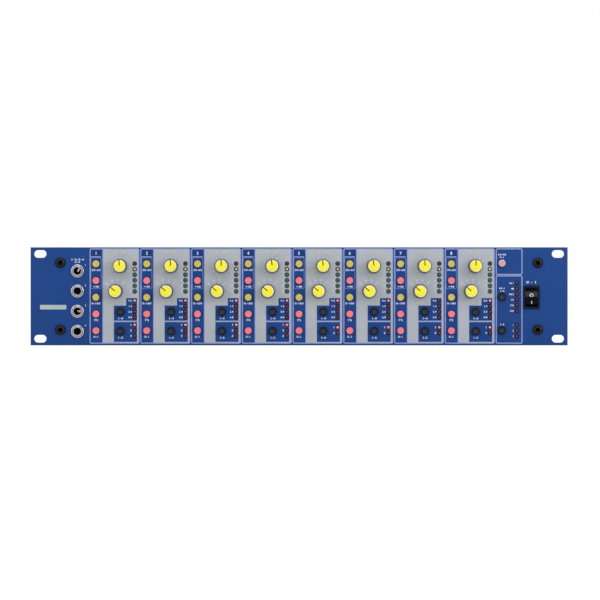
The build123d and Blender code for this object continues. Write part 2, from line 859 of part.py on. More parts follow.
# ---------------------------------------------------------------- boards behind the panel
def pillar(length):
    """A board pillar along Z with a spigot, and the nut on the far side of the board."""
    body = Pos(0, 0, length / 2) * Cylinder(pillar_radius, length)
    spigot_top = length + board_thickness + pillar_nut_height
    spigot = Pos(0, 0, spigot_top / 2) * Cylinder(pillar_spigot_radius, spigot_top)
    nut = extrude(RegularPolygon(pillar_radius, 6, major_radius=False)
                  - Circle(pillar_spigot_radius + thread_gap), amount=pillar_nut_height)
    return [body + spigot, Pos(0, 0, length + board_thickness) * nut]


def control_pillar_places():
    return [(channel_x(c, pillar_offset), z) for c in pillar_channels for z in pillar_rows]


def main_pillar_places():
    between = [mic_x(c) + mic_pitch / 2 for c in main_pillar_channels]
    return [(x, y) for x in between + [main_board_right - main_pillar_inset]
            for y in (main_board_front + main_pillar_front, board_rear - main_pillar_inset)]


def power_pillar_places():
    inset = power_pillar_inset
    return [(x, y) for x in (power_board_x[0] + inset, power_board_x[1] - inset)
            for y in (power_board_front + inset, board_rear - inset)]


def make_control_board():
    x = (control_board_left_inset - half_width, half_width - control_board_right_inset)
    half = case_top - control_board_margin
    board = block(x, (control_board_front, control_board_back), (-half, half))
    hole = bar(pillar_spigot_radius + pillar_hole_gap, (control_board_front, control_board_back))
    board -= placed(hole, control_pillar_places())
    reach = jack_housing_height / 2 - instrument_board_margin
    low = jack_top - jack_pitch * (jack_count - 1) - reach
    half_jack = jack_housing_width / 2
    instrument = block((jack_x - half_jack, jack_x + half_jack),
                       (jack_depth, jack_depth + board_thickness), (low, jack_top + reach))
    add("control_board", board, instrument)


def make_pillars():
    for x, z in control_pillar_places():
        add("case_fasteners", *[Pos(x, 0, z) * facing_back * p for p in pillar(control_board_front)])
    for x, y in main_pillar_places() + power_pillar_places():
        add("case_fasteners", *[Pos(x, y, floor_z) * p for p in pillar(board_lift)])


# ---------------------------------------------------------------- rear sockets
def make_mic_sockets():
    """Three-pole sockets: a flanged barrel, and on a base in it a core with three contact holes."""
    face = case_depth + mic_flange_thickness
    back = case_depth - mic_depth
    flange = RectangleRounded(mic_flange_width, mic_flange_height, mic_flange_corner)
    barrel = slab(flange, (case_depth, face))
    barrel += bar(mic_barrel_radius, (back, case_depth))
    barrel -= bar(mic_groove_radius, (back, face))
    for at in mic_screws:
        barrel -= bar(case_screw_radius + screw_clearance, (case_depth, face), at)
    base = bar(mic_groove_radius - thread_gap, (back, face - mic_groove_depth))
    core = bar(mic_core_radius, (face - mic_groove_depth, face))
    for angle in mic_contact_angles:
        x = mic_contact_circle * math.cos(math.radians(angle))
        z = mic_contact_circle * math.sin(math.radians(angle))
        core -= bar(mic_contact_radius, (face - mic_groove_depth, face), (x, z))
    places = [(mic_x(c), 0) for c in range(channels)]
    add("mic_sockets", *placed(barrel, places))
    add("mic_cores", *placed(base, places), *placed(core, places))


def make_line_connectors():
    """25-way connectors with a D-shaped shell, and the jack posts on both sides."""
    face = case_depth + line_flange_thickness
    hole = Circle(case_screw_radius + screw_clearance)
    flange = slab(RectangleRounded(line_flange_width, line_flange_height, line_flange_corner)
                  - [Pos(i * line_post_spacing / 2, 0) * hole for i in (-1, 1)], (case_depth, face))
    shell_back = face + line_shell_reach
    shell = slab(line_outline(), (face, shell_back))
    shell -= slab(line_outline(-line_rim_inset), (shell_back - line_rim_depth, shell_back))
    back = slab(line_outline(), (case_depth - line_back_depth, case_depth))
    connector = flange + shell + back
    hexagon = RegularPolygon(line_post_radius, 6, major_radius=False)
    jack_post = slab(hexagon - Circle(line_post_bore), (face, face + line_post_height))
    stud_end = rear_inner_y - line_stud_reach
    jack_post += bar(case_screw_radius, (stud_end, face))
    add("line_connectors", *placed(connector, [(line_x, z) for z in line_rows]))
    add("case_fasteners", *placed(jack_post, line_post_places()))


def make_option_plate():
    plate = block((option_x - option_width / 2, option_x + option_width / 2),
                  (case_depth, case_depth + option_thickness), (-option_height / 2, option_height / 2))
    plate = fillet(plate.edges().filter_by(Axis.Y), option_corner)
    add("option_plate", plate - [frame * screw_hole() for frame in option_frames()])


def make_mains_inlet():
    face = case_depth + inlet_flange_thickness
    flange = RectangleRounded(inlet_flange_width, inlet_flange_height, inlet_flange_corner)
    inlet = slab(flange, (case_depth, face))
    body = Rectangle(inlet_body_width, inlet_body_height)
    inlet += slab(body, (case_depth - inlet_body_depth, case_depth))
    cavity_floor = face - inlet_cavity_depth
    cavity = Pos(0, inlet_cavity_z) * Rectangle(inlet_cavity_width, inlet_cavity_height)
    cavity = chamfer(cavity.vertices().group_by(Axis.Y)[-1], inlet_cavity_chamfer)
    inlet -= slab(cavity, (cavity_floor, face))
    drawer_well = Pos(0, fuse_z) * Rectangle(fuse_width + 2 * fuse_gap, fuse_height + 2 * fuse_gap)
    inlet -= slab(drawer_well, (face - fuse_depth - fuse_gap, face))
    for side in (-1, 1):
        hole_at = (side * inlet_screw_spacing / 2, inlet_cavity_z)
        inlet -= bar(case_screw_radius + screw_clearance, (case_depth, face), hole_at)
    blade = Rectangle(inlet_blade_width, inlet_blade_height)
    rises = {-inlet_blade_spacing: 0.0, 0.0: inlet_earth_rise, inlet_blade_spacing: 0.0}
    blades = [slab(Pos(x, inlet_cavity_z + rise) * blade, (cavity_floor, cavity_floor + inlet_blade_length))
              for x, rise in rises.items()]
    add("mains_inlet", *[Pos(inlet_x, 0, 0) * piece for piece in [inlet] + blades])
    drawer = slab(Rectangle(fuse_width, fuse_height), (face - fuse_depth, face))
    lip = RectangleRounded(fuse_lip_width, fuse_lip_height, fuse_lip_corner)
    drawer += slab(lip, (face, face + fuse_lip_thickness))
    drawer -= block((-fuse_bay_width / 2, fuse_bay_width / 2),
                    (face - fuse_depth + fuse_bay_back_wall, face - fuse_bay_front_wall),
                    (fuse_bay_low, fuse_height))
    add("fuse_drawer", Pos(inlet_x, 0, fuse_z) * drawer)


# ---------------------------------------------------------------- inside
def make_main_board():
    x = (main_board_side_gap - inner_x, main_board_right)
    board = block(x, (main_board_front, board_rear), (board_z, board_top))
    hole = Cylinder(pillar_spigot_radius + pillar_hole_gap, hole_cutter_length)
    board -= [Pos(px, py, board_z) * hole for px, py in main_pillar_places()]
    add("main_board", board)
    for channel in range(channels):
        centre = mic_x(channel)
        chip_x = (centre - chip_width / 2, centre + chip_width / 2)
        for y in chip_rows:
            add("main_board", block(chip_x, (y, y + chip_length), (board_top, board_top + chip_height)))
        for y in capacitor_rows:
            add("main_board", post(capacitor_radius, (board_top, board_top + capacitor_height),
                                   (centre + capacitor_offset, y)))
    for centre in ribbon_places():
        add("main_board", block((centre - header_width / 2, centre + header_width / 2), header_rows,
                                (board_top, board_top + header_height)))


def make_input_transformers():
    for channel in range(channels):
        centre = mic_x(channel)
        half = input_can_width / 2
        can = block((centre - half, centre + half), (input_can_front, input_can_front + input_can_length),
                    (board_top, board_top + input_can_height))
        add("input_transformers", fillet(can.edges().group_by(Axis.Z)[-1], input_can_edge))


def make_mains_transformer():
    bottom = floor_z + transformer_pad
    top = bottom + transformer_height
    ring = Pos(0, 0, (bottom + top) / 2) * Cylinder(transformer_radius, transformer_height)
    ring = fillet(ring.edges(), transformer_edge)
    ring -= Pos(0, 0, (bottom + top) / 2) * Cylinder(transformer_bore_radius, transformer_height + 2)
    pad = post(transformer_dish_radius, (floor_z, bottom), (0, 0))
    dish_top = top + transformer_dish_thickness
    dish = post(transformer_dish_radius, (top, dish_top), (0, 0))
    bolt_top = top + transformer_bolt_reach
    bolt = post(transformer_bolt_radius, (floor_z, bolt_top), (0, 0))
    hexagon = RegularPolygon(transformer_nut_flats / 2, 6, major_radius=False)
    bolt += Pos(0, 0, dish_top) * extrude(hexagon, amount=transformer_nut_height)
    shaft_clear = post(transformer_bolt_radius + thread_gap, (floor_z - 1, bolt_top + 1), (0, 0))
    pieces = [ring, pad - shaft_clear, dish - shaft_clear, bolt]
    add("mains_transformer", *[Pos(transformer_x, transformer_y, 0) * piece for piece in pieces])


def make_power_board():
    board = block(power_board_x, (power_board_front, board_rear), (board_z, board_top))
    hole = Cylinder(pillar_spigot_radius + pillar_hole_gap, hole_cutter_length)
    board -= [Pos(px, py, board_z) * hole for px, py in power_pillar_places()]
    terminal_low = power_board_front + terminal_front
    terminal = block((transformer_x - terminal_width / 2, transformer_x + terminal_width / 2),
                     (terminal_low, terminal_low + terminal_length),
                     (board_top, board_top + terminal_height))
    add("power_board", board, terminal)
    for offset in reservoir_offsets:
        centre = (transformer_x + offset, power_board_front + reservoir_front)
        add("power_board", post(reservoir_radius, (board_top, board_top + reservoir_height), centre))
    sink_front = board_rear - heat_sink_rear_gap
    sink_x = (power_board_x[0] + heat_sink_inset, power_board_x[1] - heat_sink_inset)
    sink_z = (board_top, board_top + heat_sink_height)
    sink = block(sink_x, (sink_front, sink_front + heat_sink_base), sink_z)
    step = (sink_x[1] - sink_x[0] - heat_sink_fin) / (heat_sink_fins - 1)
    for i in range(heat_sink_fins):
        fin_x = sink_x[0] + step * i
        sink += block((fin_x, fin_x + heat_sink_fin),
                      (sink_front + heat_sink_base, sink_front + heat_sink_depth), sink_z)
    add("power_board", sink)
    for offset in regulator_offsets:
        centre = transformer_x + offset
        add("power_board", block((centre - regulator_width / 2, centre + regulator_width / 2),
                                 (sink_front - regulator_thickness, sink_front),
                                 (board_top, board_top + regulator_height)))


def ribbon_places():
    return [channel_x(c, channel_pitch / 2) + ribbon_offset for c in ribbon_channels]


def ribbon(centre, start, drop, z):
    """A flat cable that runs level along Y from start to drop at height z[1], then down to z[0]."""
    x = (centre - ribbon_width / 2, centre + ribbon_width / 2)
    half = ribbon_thickness / 2
    run = block(x, sorted((start, drop)), (z[1] - half, z[1] + half))
    fall = block(x, (drop - half, drop + half), (z[0], z[1] + half))
    return run + fall


def make_wiring():
    header_y = sum(header_rows) / 2
    for centre in ribbon_places():
        add("wiring", ribbon(centre, control_board_back, header_y, (board_top + header_height, ribbon_z)))
    for i, z in enumerate(line_rows):
        drop = board_rear - line_drop_pitch * (len(line_rows) - i)
        add("wiring", ribbon(line_x, case_depth - line_back_depth, drop, (board_top, z)))
    for channel in range(channels):
        x = mic_x(channel)
        back = case_depth - mic_depth
        points = [(x, back, 0), (x, back - mic_lead_run, 0), (x, back - mic_lead_run, board_top)]
        add("wiring", tube(points, mic_lead_radius, lead_bend))
    jack_lead = [(jack_x, jack_depth + board_thickness, jack_lead_z), (jack_x, jack_lead_y, jack_lead_z),
                 (jack_x, jack_lead_y, board_top)]
    add("wiring", tube(jack_lead, mic_lead_radius, lead_bend))
    inlet_back = case_depth - inlet_body_depth
    side = rocker_x + switch_lead_offset
    feed_x = inlet_x + inlet_lead_x
    turn_y = inlet_back - inlet_lead_run
    feed = [(feed_x, inlet_back, inlet_lead_z), (feed_x, turn_y, inlet_lead_z),
            (side, turn_y, inlet_lead_z), (side, switch_case_depth, inlet_lead_z)]
    add("wiring", tube(feed, lead_radius, lead_bend))
    side = rocker_x - switch_lead_offset
    toroid_front = transformer_y - transformer_radius - sheet_gap
    toroid_z = switched_lead_z - switched_lead_drop
    switched = [(side, switch_case_depth, switched_lead_z), (side, switched_lead_y, switched_lead_z),
                (transformer_x, switched_lead_y, toroid_z), (transformer_x, toroid_front, toroid_z)]
    add("wiring", tube(switched, lead_radius, lead_bend))
    toroid_back = transformer_y + transformer_radius + sheet_gap
    terminal_y = power_board_front + terminal_front + terminal_length / 2
    secondary = [(transformer_x, toroid_back, secondary_lead_z),
                 (transformer_x, terminal_y, secondary_lead_z),
                 (transformer_x, terminal_y, board_top + terminal_height)]
    add("wiring", tube(secondary, lead_radius, lead_bend))
    left, right = main_board_right - rail_lead_inset, power_board_x[0] + rail_lead_inset
    rail_top = board_top + terminal_height
    rails = [(right, rail_lead_y, board_top), (right, rail_lead_y, rail_top),
             (left, rail_lead_y, rail_top), (left, rail_lead_y, board_top)]
    add("wiring", tube(rails, lead_radius, lead_bend))


# ---------------------------------------------------------------- build and write
make_front_panel()
make_chassis_tray()
make_top_cover()
make_rear_panel()
make_panel_screws()
make_case_screws()
make_jacks()
make_knobs()
make_pots()
make_buttons()
make_leds()
make_switch_bezel()
make_power_rocker()
make_control_board()
make_pillars()
make_mic_sockets()
make_line_connectors()
make_option_plate()
make_mains_inlet()
make_main_board()
make_input_transformers()
make_mains_transformer()
make_power_board()
make_wiring()

os.makedirs("parts", exist_ok=True)
for name, pieces in nodes.items():
    solids = [solid for piece in pieces for solid in piece.solids()]
    export_step(Compound(children=solids), f"parts/{name}.step")
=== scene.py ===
import json
import math
import bpy
from mathutils import Matrix, Vector


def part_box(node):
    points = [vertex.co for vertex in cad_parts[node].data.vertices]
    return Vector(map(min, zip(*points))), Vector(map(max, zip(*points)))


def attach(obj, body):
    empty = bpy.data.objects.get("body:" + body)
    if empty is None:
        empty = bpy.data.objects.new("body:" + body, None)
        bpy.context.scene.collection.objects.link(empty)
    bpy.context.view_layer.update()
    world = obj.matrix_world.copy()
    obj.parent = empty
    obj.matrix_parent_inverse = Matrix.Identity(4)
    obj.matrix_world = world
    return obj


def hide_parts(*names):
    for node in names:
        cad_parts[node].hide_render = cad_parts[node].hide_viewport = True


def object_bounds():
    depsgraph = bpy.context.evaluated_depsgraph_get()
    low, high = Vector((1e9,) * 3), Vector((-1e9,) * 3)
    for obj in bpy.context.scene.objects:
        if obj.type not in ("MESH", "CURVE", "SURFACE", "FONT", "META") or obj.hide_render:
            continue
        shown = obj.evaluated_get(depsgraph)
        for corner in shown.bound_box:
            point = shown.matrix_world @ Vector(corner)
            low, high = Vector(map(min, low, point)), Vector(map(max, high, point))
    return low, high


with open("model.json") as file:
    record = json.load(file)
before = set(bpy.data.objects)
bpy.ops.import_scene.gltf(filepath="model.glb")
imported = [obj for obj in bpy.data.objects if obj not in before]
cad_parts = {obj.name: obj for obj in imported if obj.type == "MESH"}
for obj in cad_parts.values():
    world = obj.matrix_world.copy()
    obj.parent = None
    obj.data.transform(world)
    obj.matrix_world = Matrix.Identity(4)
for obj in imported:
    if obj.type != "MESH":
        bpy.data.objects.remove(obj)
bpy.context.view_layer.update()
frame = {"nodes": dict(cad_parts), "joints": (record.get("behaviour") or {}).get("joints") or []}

# Sizes are in millimetres and places come from the frame; the helpers turn them into metres.
MM = 0.001
TOUCHING = 0.001
UPRIGHT = (math.pi / 2, 0, 0)
CHANNELS = 8
JACKS = 4
LIT_BUTTONS = ("range", "phantom", "phase", "filter", "insert")
BLACK_BUTTONS = ("impedance", "input")


# ------------------------------------------------------------------ places from the frame
def corners(node):
    """A CAD node's lowest and highest corners, in millimetres."""
    low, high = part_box(node)
    return low / MM, high / MM


def middle(node):
    """The middle of a CAD node's box."""
    low, high = corners(node)
    return (low + high) / 2


def tips(node):
    """X and Z of the foremost points of a node's pieces, such as the tips of its LEDs."""
    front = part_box(node)[0].y
    points = [vertex.co / MM for vertex in frame["nodes"][node].data.vertices
              if vertex.co.y < front + TOUCHING * MM]
    return sorted({(round(point.x, 2), round(point.z, 2)) for point in points})


joint_of = {joint["child"]: joint for joint in frame["joints"]}
panel_low = corners("front_panel")[0]
case_low, case_high = corners("chassis_tray")
FACE = panel_low.y
REAR = case_high.y
COLUMN = middle("range_button_1").x
PITCH = middle("trim_knob_2").x - middle("trim_knob_1").x
CHANNEL_SHIFTS = [PITCH * n for n in range(CHANNELS)]


def pivot(node):
    """X and Z of a turning node's axis."""
    x, _, z = joint_of[node]["pos_m"]
    return x / MM, z / MM


def spread(low, high, count):
    """Evenly spaced values from low to high."""
    return [low + (high - low) * n / (count - 1) for n in range(count)]


# ------------------------------------------------------------------ modelling helpers
def deselect():
    bpy.ops.object.select_all(action="DESELECT")


def activate(piece):
    deselect()
    piece.select_set(True)
    bpy.context.view_layer.objects.active = piece


def edit(piece):
    """Into edit mode on one piece, with everything selected."""
    activate(piece)
    bpy.ops.object.mode_set(mode="EDIT")
    bpy.ops.mesh.select_all(action="SELECT")


def leave():
    bpy.ops.object.mode_set(mode="OBJECT")


def named(piece, name):
    piece.name = name
    piece.data.name = name
    return piece


def settle(piece):
    """Put a piece's place, turn and size in its mesh."""
    activate(piece)
    bpy.ops.object.transform_apply(location=True, rotation=True, scale=True)
    return piece


def pick(piece, kind, wanted):
    """Into edit mode with only the wanted vertices or faces selected."""
    edit(piece)
    bpy.ops.mesh.select_mode(type=kind)
    bpy.ops.mesh.select_all(action="DESELECT")
    leave()
    for item in piece.data.vertices if kind == "VERT" else piece.data.polygons:
        item.select = bool(wanted(item))
    bpy.ops.object.mode_set(mode="EDIT")


def score(piece, axis, place):
    """Draw new edges round a piece where it crosses a plane, square to the X or the Z axis."""
    edit(piece)
    across = (1, 0, 0) if axis == "X" else (0, 0, 1)
    bpy.ops.mesh.bisect(plane_co=[side * place * MM for side in across], plane_no=across)
    leave()


def modify(piece, kind, **settings):
    """Give a piece a modifier and apply it."""
    activate(piece)
    modifier = piece.modifiers.new(kind.title(), kind)
    for key, value in settings.items():
        setattr(modifier, key, value)
    bpy.ops.object.modifier_apply(modifier=modifier.name)
    return piece


def smooth(piece, angle=40):
    activate(piece)
    bpy.ops.object.shade_smooth_by_angle(angle=math.radians(angle))
    return piece


def soften(piece, width, segments=2, angle=35):
    """Round a piece's sharp edges and shade it smooth between them."""
    modify(piece, "BEVEL", width=width * MM, segments=segments, limit_method="ANGLE",
           angle_limit=math.radians(angle))
    return smooth(piece)


def cut(piece, tool):
    """Take a tool's shape out of a piece."""
    modify(piece, "BOOLEAN", operation="DIFFERENCE", solver="EXACT", object=tool)
    bpy.data.objects.remove(tool)
    return piece


def draw_out(y, z=0.0):
    """Extrude what is selected along Y and Z."""
    bpy.ops.mesh.extrude_region_move(TRANSFORM_OT_translate={"value": (0, y * MM, z * MM)})


def turned(name, steps, sides=48, ring=False, flutes=0, flute_depth=0.0):
    """A round body about the Y axis: a circle drawn out through (radius, depth) steps.

    A ring's last step meets its first one. Flutes draw in evenly spaced points of the circle.
    """
    deselect()
    radius, y = steps[0]
    bpy.ops.mesh.primitive_circle_add(vertices=sides, radius=radius * MM, fill_type="NOTHING",
                                      location=(0, y * MM, 0), rotation=UPRIGHT)
    piece = settle(named(bpy.context.object, name))
    if flutes:
        pick(piece, "VERT", lambda vertex: vertex.index % (sides // flutes) == 0)
        inward = 1 - flute_depth / radius
        bpy.ops.transform.resize(value=(inward, 1, inward), center_override=(0, y * MM, 0))
        leave()
    edit(piece)
    bpy.ops.mesh.select_mode(type="EDGE")
    bpy.ops.mesh.select_all(action="SELECT")
    for next_radius, next_y in steps[1:]:
        draw_out(next_y - y)
        grow = next_radius / radius
        bpy.ops.transform.resize(value=(grow, 1, grow), center_override=(0, next_y * MM, 0))
        radius, y = next_radius, next_y
    bpy.ops.mesh.select_all(action="SELECT")
    if ring:
        bpy.ops.mesh.remove_doubles(threshold=TOUCHING * MM)
    else:
        bpy.ops.mesh.fill_holes(sides=0)
    bpy.ops.mesh.normals_make_consistent(inside=False)
    leave()
    return smooth(piece)


def brick(name, x, y, z):
    """A block between limits on each axis, as a start for shaping."""
    deselect()
    bpy.ops.mesh.primitive_cube_add(size=1, location=[sum(side) / 2 * MM for side in (x, y, z)])
    piece = named(bpy.context.object, name)
    piece.scale = [(high - low) * MM for low, high in (x, y, z)]
    return settle(piece)


def hexagon_bar(name, flats, y, corner_gap=0.0):
    """A six-sided bar along Y, this wide across its flats, with a gap beyond its corners."""
    deselect()
    radius = flats / math.sqrt(3) + corner_gap
    bpy.ops.mesh.primitive_cylinder_add(vertices=6, radius=radius * MM, depth=(y[1] - y[0]) * MM,
                                        location=(0, sum(y) / 2 * MM, 0), rotation=UPRIGHT)
    return settle(named(bpy.context.object, name))


def sheet(name, x, z, corner=0.0, y=None):
    """A flat rounded rectangle that faces the front, on the panel unless a depth is given."""
    deselect()
    y = FACE if y is None else y
    bpy.ops.mesh.primitive_plane_add(size=MM, location=(sum(x) / 2 * MM, y * MM, sum(z) / 2 * MM),
                                     rotation=UPRIGHT)
    piece = named(bpy.context.object, name)
    piece.scale = (x[1] - x[0], z[1] - z[0], 1)
    settle(piece)
    if corner:
        edit(piece)
        bpy.ops.mesh.bevel(offset=corner * MM, segments=5, affect="VERTICES")
        leave()
    return piece


def thicken(piece, thickness):
    """Give a flat sheet its thickness, towards the front."""
    edit(piece)
    draw_out(-thickness)
    bpy.ops.mesh.select_all(action="SELECT")
    bpy.ops.mesh.normals_make_consistent(inside=False)
    leave()
    return piece


def hollow(piece, width):
    """Leave only a rim of a flat sheet."""
    edit(piece)
    bpy.ops.mesh.inset(thickness=width * MM)
    bpy.ops.mesh.delete(type="FACE")
    leave()
    return piece


def joined(name, pieces):
    """One object from several."""
    deselect()
    for piece in pieces:
        piece.select_set(True)
    bpy.context.view_layer.objects.active = pieces[0]
    if len(pieces) > 1:
        bpy.ops.object.join()
    return named(pieces[0], name)


def copied(piece, name, x=0.0, z=0.0, angle=0.0):
    """A copy with its own mesh, turned clockwise about the Y axis and then moved."""
    copy = piece.copy()
    copy.data = piece.data.copy()
    turn = Matrix.Rotation(math.radians(angle), 4, "Y")
    copy.data.transform(Matrix.Translation((x * MM, 0, z * MM)) @ turn)
    bpy.context.scene.collection.objects.link(copy)
    return named(copy, name)


def repeated(name, piece, places):
    """The piece at each place in X and Z, as one object."""
    copies = [copied(piece, name, x, z) for x, z in places]
    bpy.data.objects.remove(piece)
    return joined(name, copies)


def rounded_copy(node, width, segments=2):
    """A CAD node's shape as one smooth mesh with its edges rounded."""
    piece = copied(frame["nodes"][node], f"{node}_moulded")
    piece.parent = None
    edit(piece)
    bpy.ops.mesh.remove_doubles(threshold=TOUCHING * MM)
    bpy.ops.mesh.dissolve_limited(angle_limit=math.radians(0.5))
    leave()
    return soften(piece, width, segments)


# ------------------------------------------------------------------ finishes
def srgb(red, green, blue):
    """A linear colour from screen values of 0 to 255."""
    def linear(value):
        value /= 255
        return value / 12.92 if value <= 0.04045 else ((value + 0.055) / 1.055) ** 2.4
    return (linear(red), linear(green), linear(blue), 1.0)


def grain_of(nodes, links, mapping, scale, detail):
    """The pattern of a noise, counted per metre."""
    noise = nodes.new("ShaderNodeTexNoise")
    noise.inputs["Scale"].default_value = scale
    noise.inputs["Detail"].default_value = detail
    links.new(mapping.outputs["Vector"], noise.inputs["Vector"])
    return noise.outputs["Fac"]


def finish_of(name, colour, vary=0.05, grain=200, roughness=0.4, spread_of_roughness=0.06, relief=0.0,
              relief_grain=2000, stretch=(1, 1, 1), specular=0.5, **sockets):
    """A surface finish: two close tones in a grain, which also varies the gloss, and a fine relief.

    The grains are counted per metre and the relief is in millimetres. Other words set sockets.
    """
    material = bpy.data.materials.new(name)
    material.use_nodes = True
    nodes, links = material.node_tree.nodes, material.node_tree.links
    shader = nodes["Principled BSDF"]
    shader.inputs["Specular IOR Level"].default_value = specular
    for socket, value in sockets.items():
        shader.inputs[socket.replace("_", " ").title()].default_value = value
    place = nodes.new("ShaderNodeTexCoord")
    mapping = nodes.new("ShaderNodeMapping")
    mapping.inputs["Scale"].default_value = stretch
    links.new(place.outputs["Object"], mapping.inputs["Vector"])
    tone = grain_of(nodes, links, mapping, grain, 4)
    ramp = nodes.new("ShaderNodeValToRGB")
    dark, light = ramp.color_ramp.elements
    dark.position, light.position = 0.35, 0.65
    dark.color = [channel * (1 - vary) for channel in colour[:3]] + [1]
    light.color = [min(1, channel * (1 + vary)) for channel in colour[:3]] + [1]
    links.new(tone, ramp.inputs["Fac"])
    links.new(ramp.outputs["Color"], shader.inputs["Base Color"])
    gloss = nodes.new("ShaderNodeMapRange")
    gloss.inputs["From Min"].default_value = 0.3
    gloss.inputs["From Max"].default_value = 0.7
    gloss.inputs["To Min"].default_value = max(0.02, roughness - spread_of_roughness)
    gloss.inputs["To Max"].default_value = roughness + spread_of_roughness
    links.new(tone, gloss.inputs["Value"])
    links.new(gloss.outputs["Result"], shader.inputs["Roughness"])
    if relief:
        bumps = nodes.new("ShaderNodeBump")
        bumps.inputs["Distance"].default_value = relief * MM
        links.new(grain_of(nodes, links, mapping, relief_grain, 3), bumps.inputs["Height"])
        links.new(bumps.outputs["Normal"], shader.inputs["Normal"])
    return material


paint_blue = finish_of("paint_blue", srgb(25, 63, 126), 0.04, 14, 0.46, relief=0.004, relief_grain=1600,
                       specular=0.12)
panel_edge = finish_of("panel_edge", srgb(38, 46, 84), 0.08, 200, 0.45, relief=0.003, specular=0.2)
ink_grey = finish_of("ink_grey", srgb(170, 175, 181), 0.03, 60, 0.6, relief=0.003, relief_grain=2500,
                     specular=0.15)
ink_pale = finish_of("ink_pale", srgb(140, 154, 200), 0.04, 120, 0.6, specular=0.15)
ink_thin = finish_of("ink_thin", srgb(104, 128, 184), 0.04, 120, 0.6, specular=0.15)
ink_white = finish_of("ink_white", srgb(206, 214, 236), 0.03, 200, 0.6, specular=0.15)
ink_yellow = finish_of("ink_yellow", srgb(196, 200, 118), 0.04, 200, 0.6, specular=0.15)
ink_dark = finish_of("ink_dark", srgb(26, 52, 110), 0.05, 90, 0.55, specular=0.1)
ink_bar = finish_of("ink_bar", srgb(168, 181, 176), 0.03, 90, 0.55, specular=0.15)
powder_black = finish_of("powder_black", srgb(30, 30, 32), 0.12, 260, 0.62, relief=0.05,
                         relief_grain=1100, specular=0.3)
screw_black = finish_of("screw_black", srgb(12, 9, 11), 0.15, 500, 0.24, 0.04, relief=0.003,
                        relief_grain=3000, specular=0.22)
# The socket's finish is near black and dull: painted shade in the screws' hex sockets.
screw_socket_shade = finish_of("screw_socket_shade", srgb(6, 4, 4), 0.15, 500, 0.5, specular=0.03)
zinc = finish_of("zinc", srgb(176, 178, 182), 0.06, 500, 0.34, relief=0.003, relief_grain=2600,
                 metallic=1.0)
nickel = finish_of("nickel", srgb(180, 179, 188), 0.06, 400, 0.22, 0.08, relief=0.003, relief_grain=2400,
                   metallic=1.0)
brass = finish_of("brass", srgb(214, 178, 96), 0.05, 500, 0.25, metallic=1.0)
knob_black = finish_of("knob_black", srgb(84, 84, 90), 0.12, 400, 0.36, relief=0.008, relief_grain=2600,
                       specular=0.3)
cap_yellow = finish_of("cap_yellow", srgb(236, 224, 54), 0.02, 220, 0.42, relief=0.003, relief_grain=2200,
                       specular=0.2)
# The cap's rim finish is paler than its top: a painted sheen on the cap's side and bevel.
cap_rim_painted_sheen = finish_of("cap_rim_painted_sheen", srgb(228, 223, 166), 0.04, 260, 0.35, relief=0.003, relief_grain=2200,
                    specular=0.2)
pointer_dark = finish_of("pointer_dark", srgb(70, 58, 14), 0.08, 500, 0.5, specular=0.1)
plastic_black = finish_of("plastic_black", srgb(22, 23, 28), 0.12, 300, 0.4, relief=0.006,
                          relief_grain=2400, specular=0.15)
bezel_black = finish_of("bezel_black", srgb(22, 27, 43), 0.12, 300, 0.45, relief=0.006,
                        relief_grain=2400, specular=0.06)
# The rocker's two finishes are lit and shaded copies of one black plastic: painted light on its upper middle
# band, painted shade on its lower half and its top end.
rocker_painted_light = finish_of("rocker_painted_light", srgb(50, 51, 58), 0.1, 300, 0.4, relief=0.004,
                         relief_grain=2000, specular=0.08)
rocker_painted_shade = finish_of("rocker_painted_shade", srgb(4, 4, 8), 0.1, 300, 0.35, relief=0.004, relief_grain=2000,
                        specular=0.04)
button_black = finish_of("button_black", srgb(18, 20, 26), 0.1, 400, 0.4, relief=0.004,
                         relief_grain=2400, specular=0.15)
# The black buttons' face finish is lighter than their rim: a painted sheen on the front face.
button_black_sheen = finish_of("button_black_sheen", srgb(44, 49, 55), 0.1, 400, 0.45, relief=0.004, relief_grain=2400,
                        specular=0.12)
# Each lit button's rim finish is a painted sheen on its bevel; the plain lens colours are the buttons' own.
lens_yellow = finish_of("lens_yellow", srgb(200, 178, 78), 0.05, 500, 0.35, specular=0.25)
lens_yellow_rim_sheen = finish_of("lens_yellow_rim_sheen", srgb(196, 178, 112), 0.05, 500, 0.35, specular=0.25)
lens_red = finish_of("lens_red", srgb(235, 119, 126), 0.04, 500, 0.35, specular=0.25)
lens_red_rim_sheen = finish_of("lens_red_rim_sheen", srgb(222, 122, 144), 0.04, 500, 0.35, specular=0.25)
lens_pink = finish_of("lens_pink", srgb(204, 152, 156), 0.05, 500, 0.35, specular=0.25)
lens_pink_rim_sheen = finish_of("lens_pink_rim_sheen", srgb(212, 180, 190), 0.05, 500, 0.35, specular=0.25)
led_red = finish_of("led_red", srgb(84, 14, 54), 0.1, 900, 0.12)
# The lit LED's pale centre is its glowing die with a painted highlight.
led_red_die_and_highlight = finish_of("led_red_die_and_highlight", srgb(214, 150, 170), 0.03, 900, 0.2,
                         emission_color=srgb(250, 150, 170), emission_strength=0.05)
led_red_lit = finish_of("led_red_lit", srgb(200, 72, 108), 0.05, 900, 0.2,
                        emission_color=srgb(220, 60, 96), emission_strength=0.05)
led_maroon = finish_of("led_maroon", srgb(58, 18, 28), 0.1, 900, 0.12)
led_amber = finish_of("led_amber", srgb(92, 94, 58), 0.1, 900, 0.12)
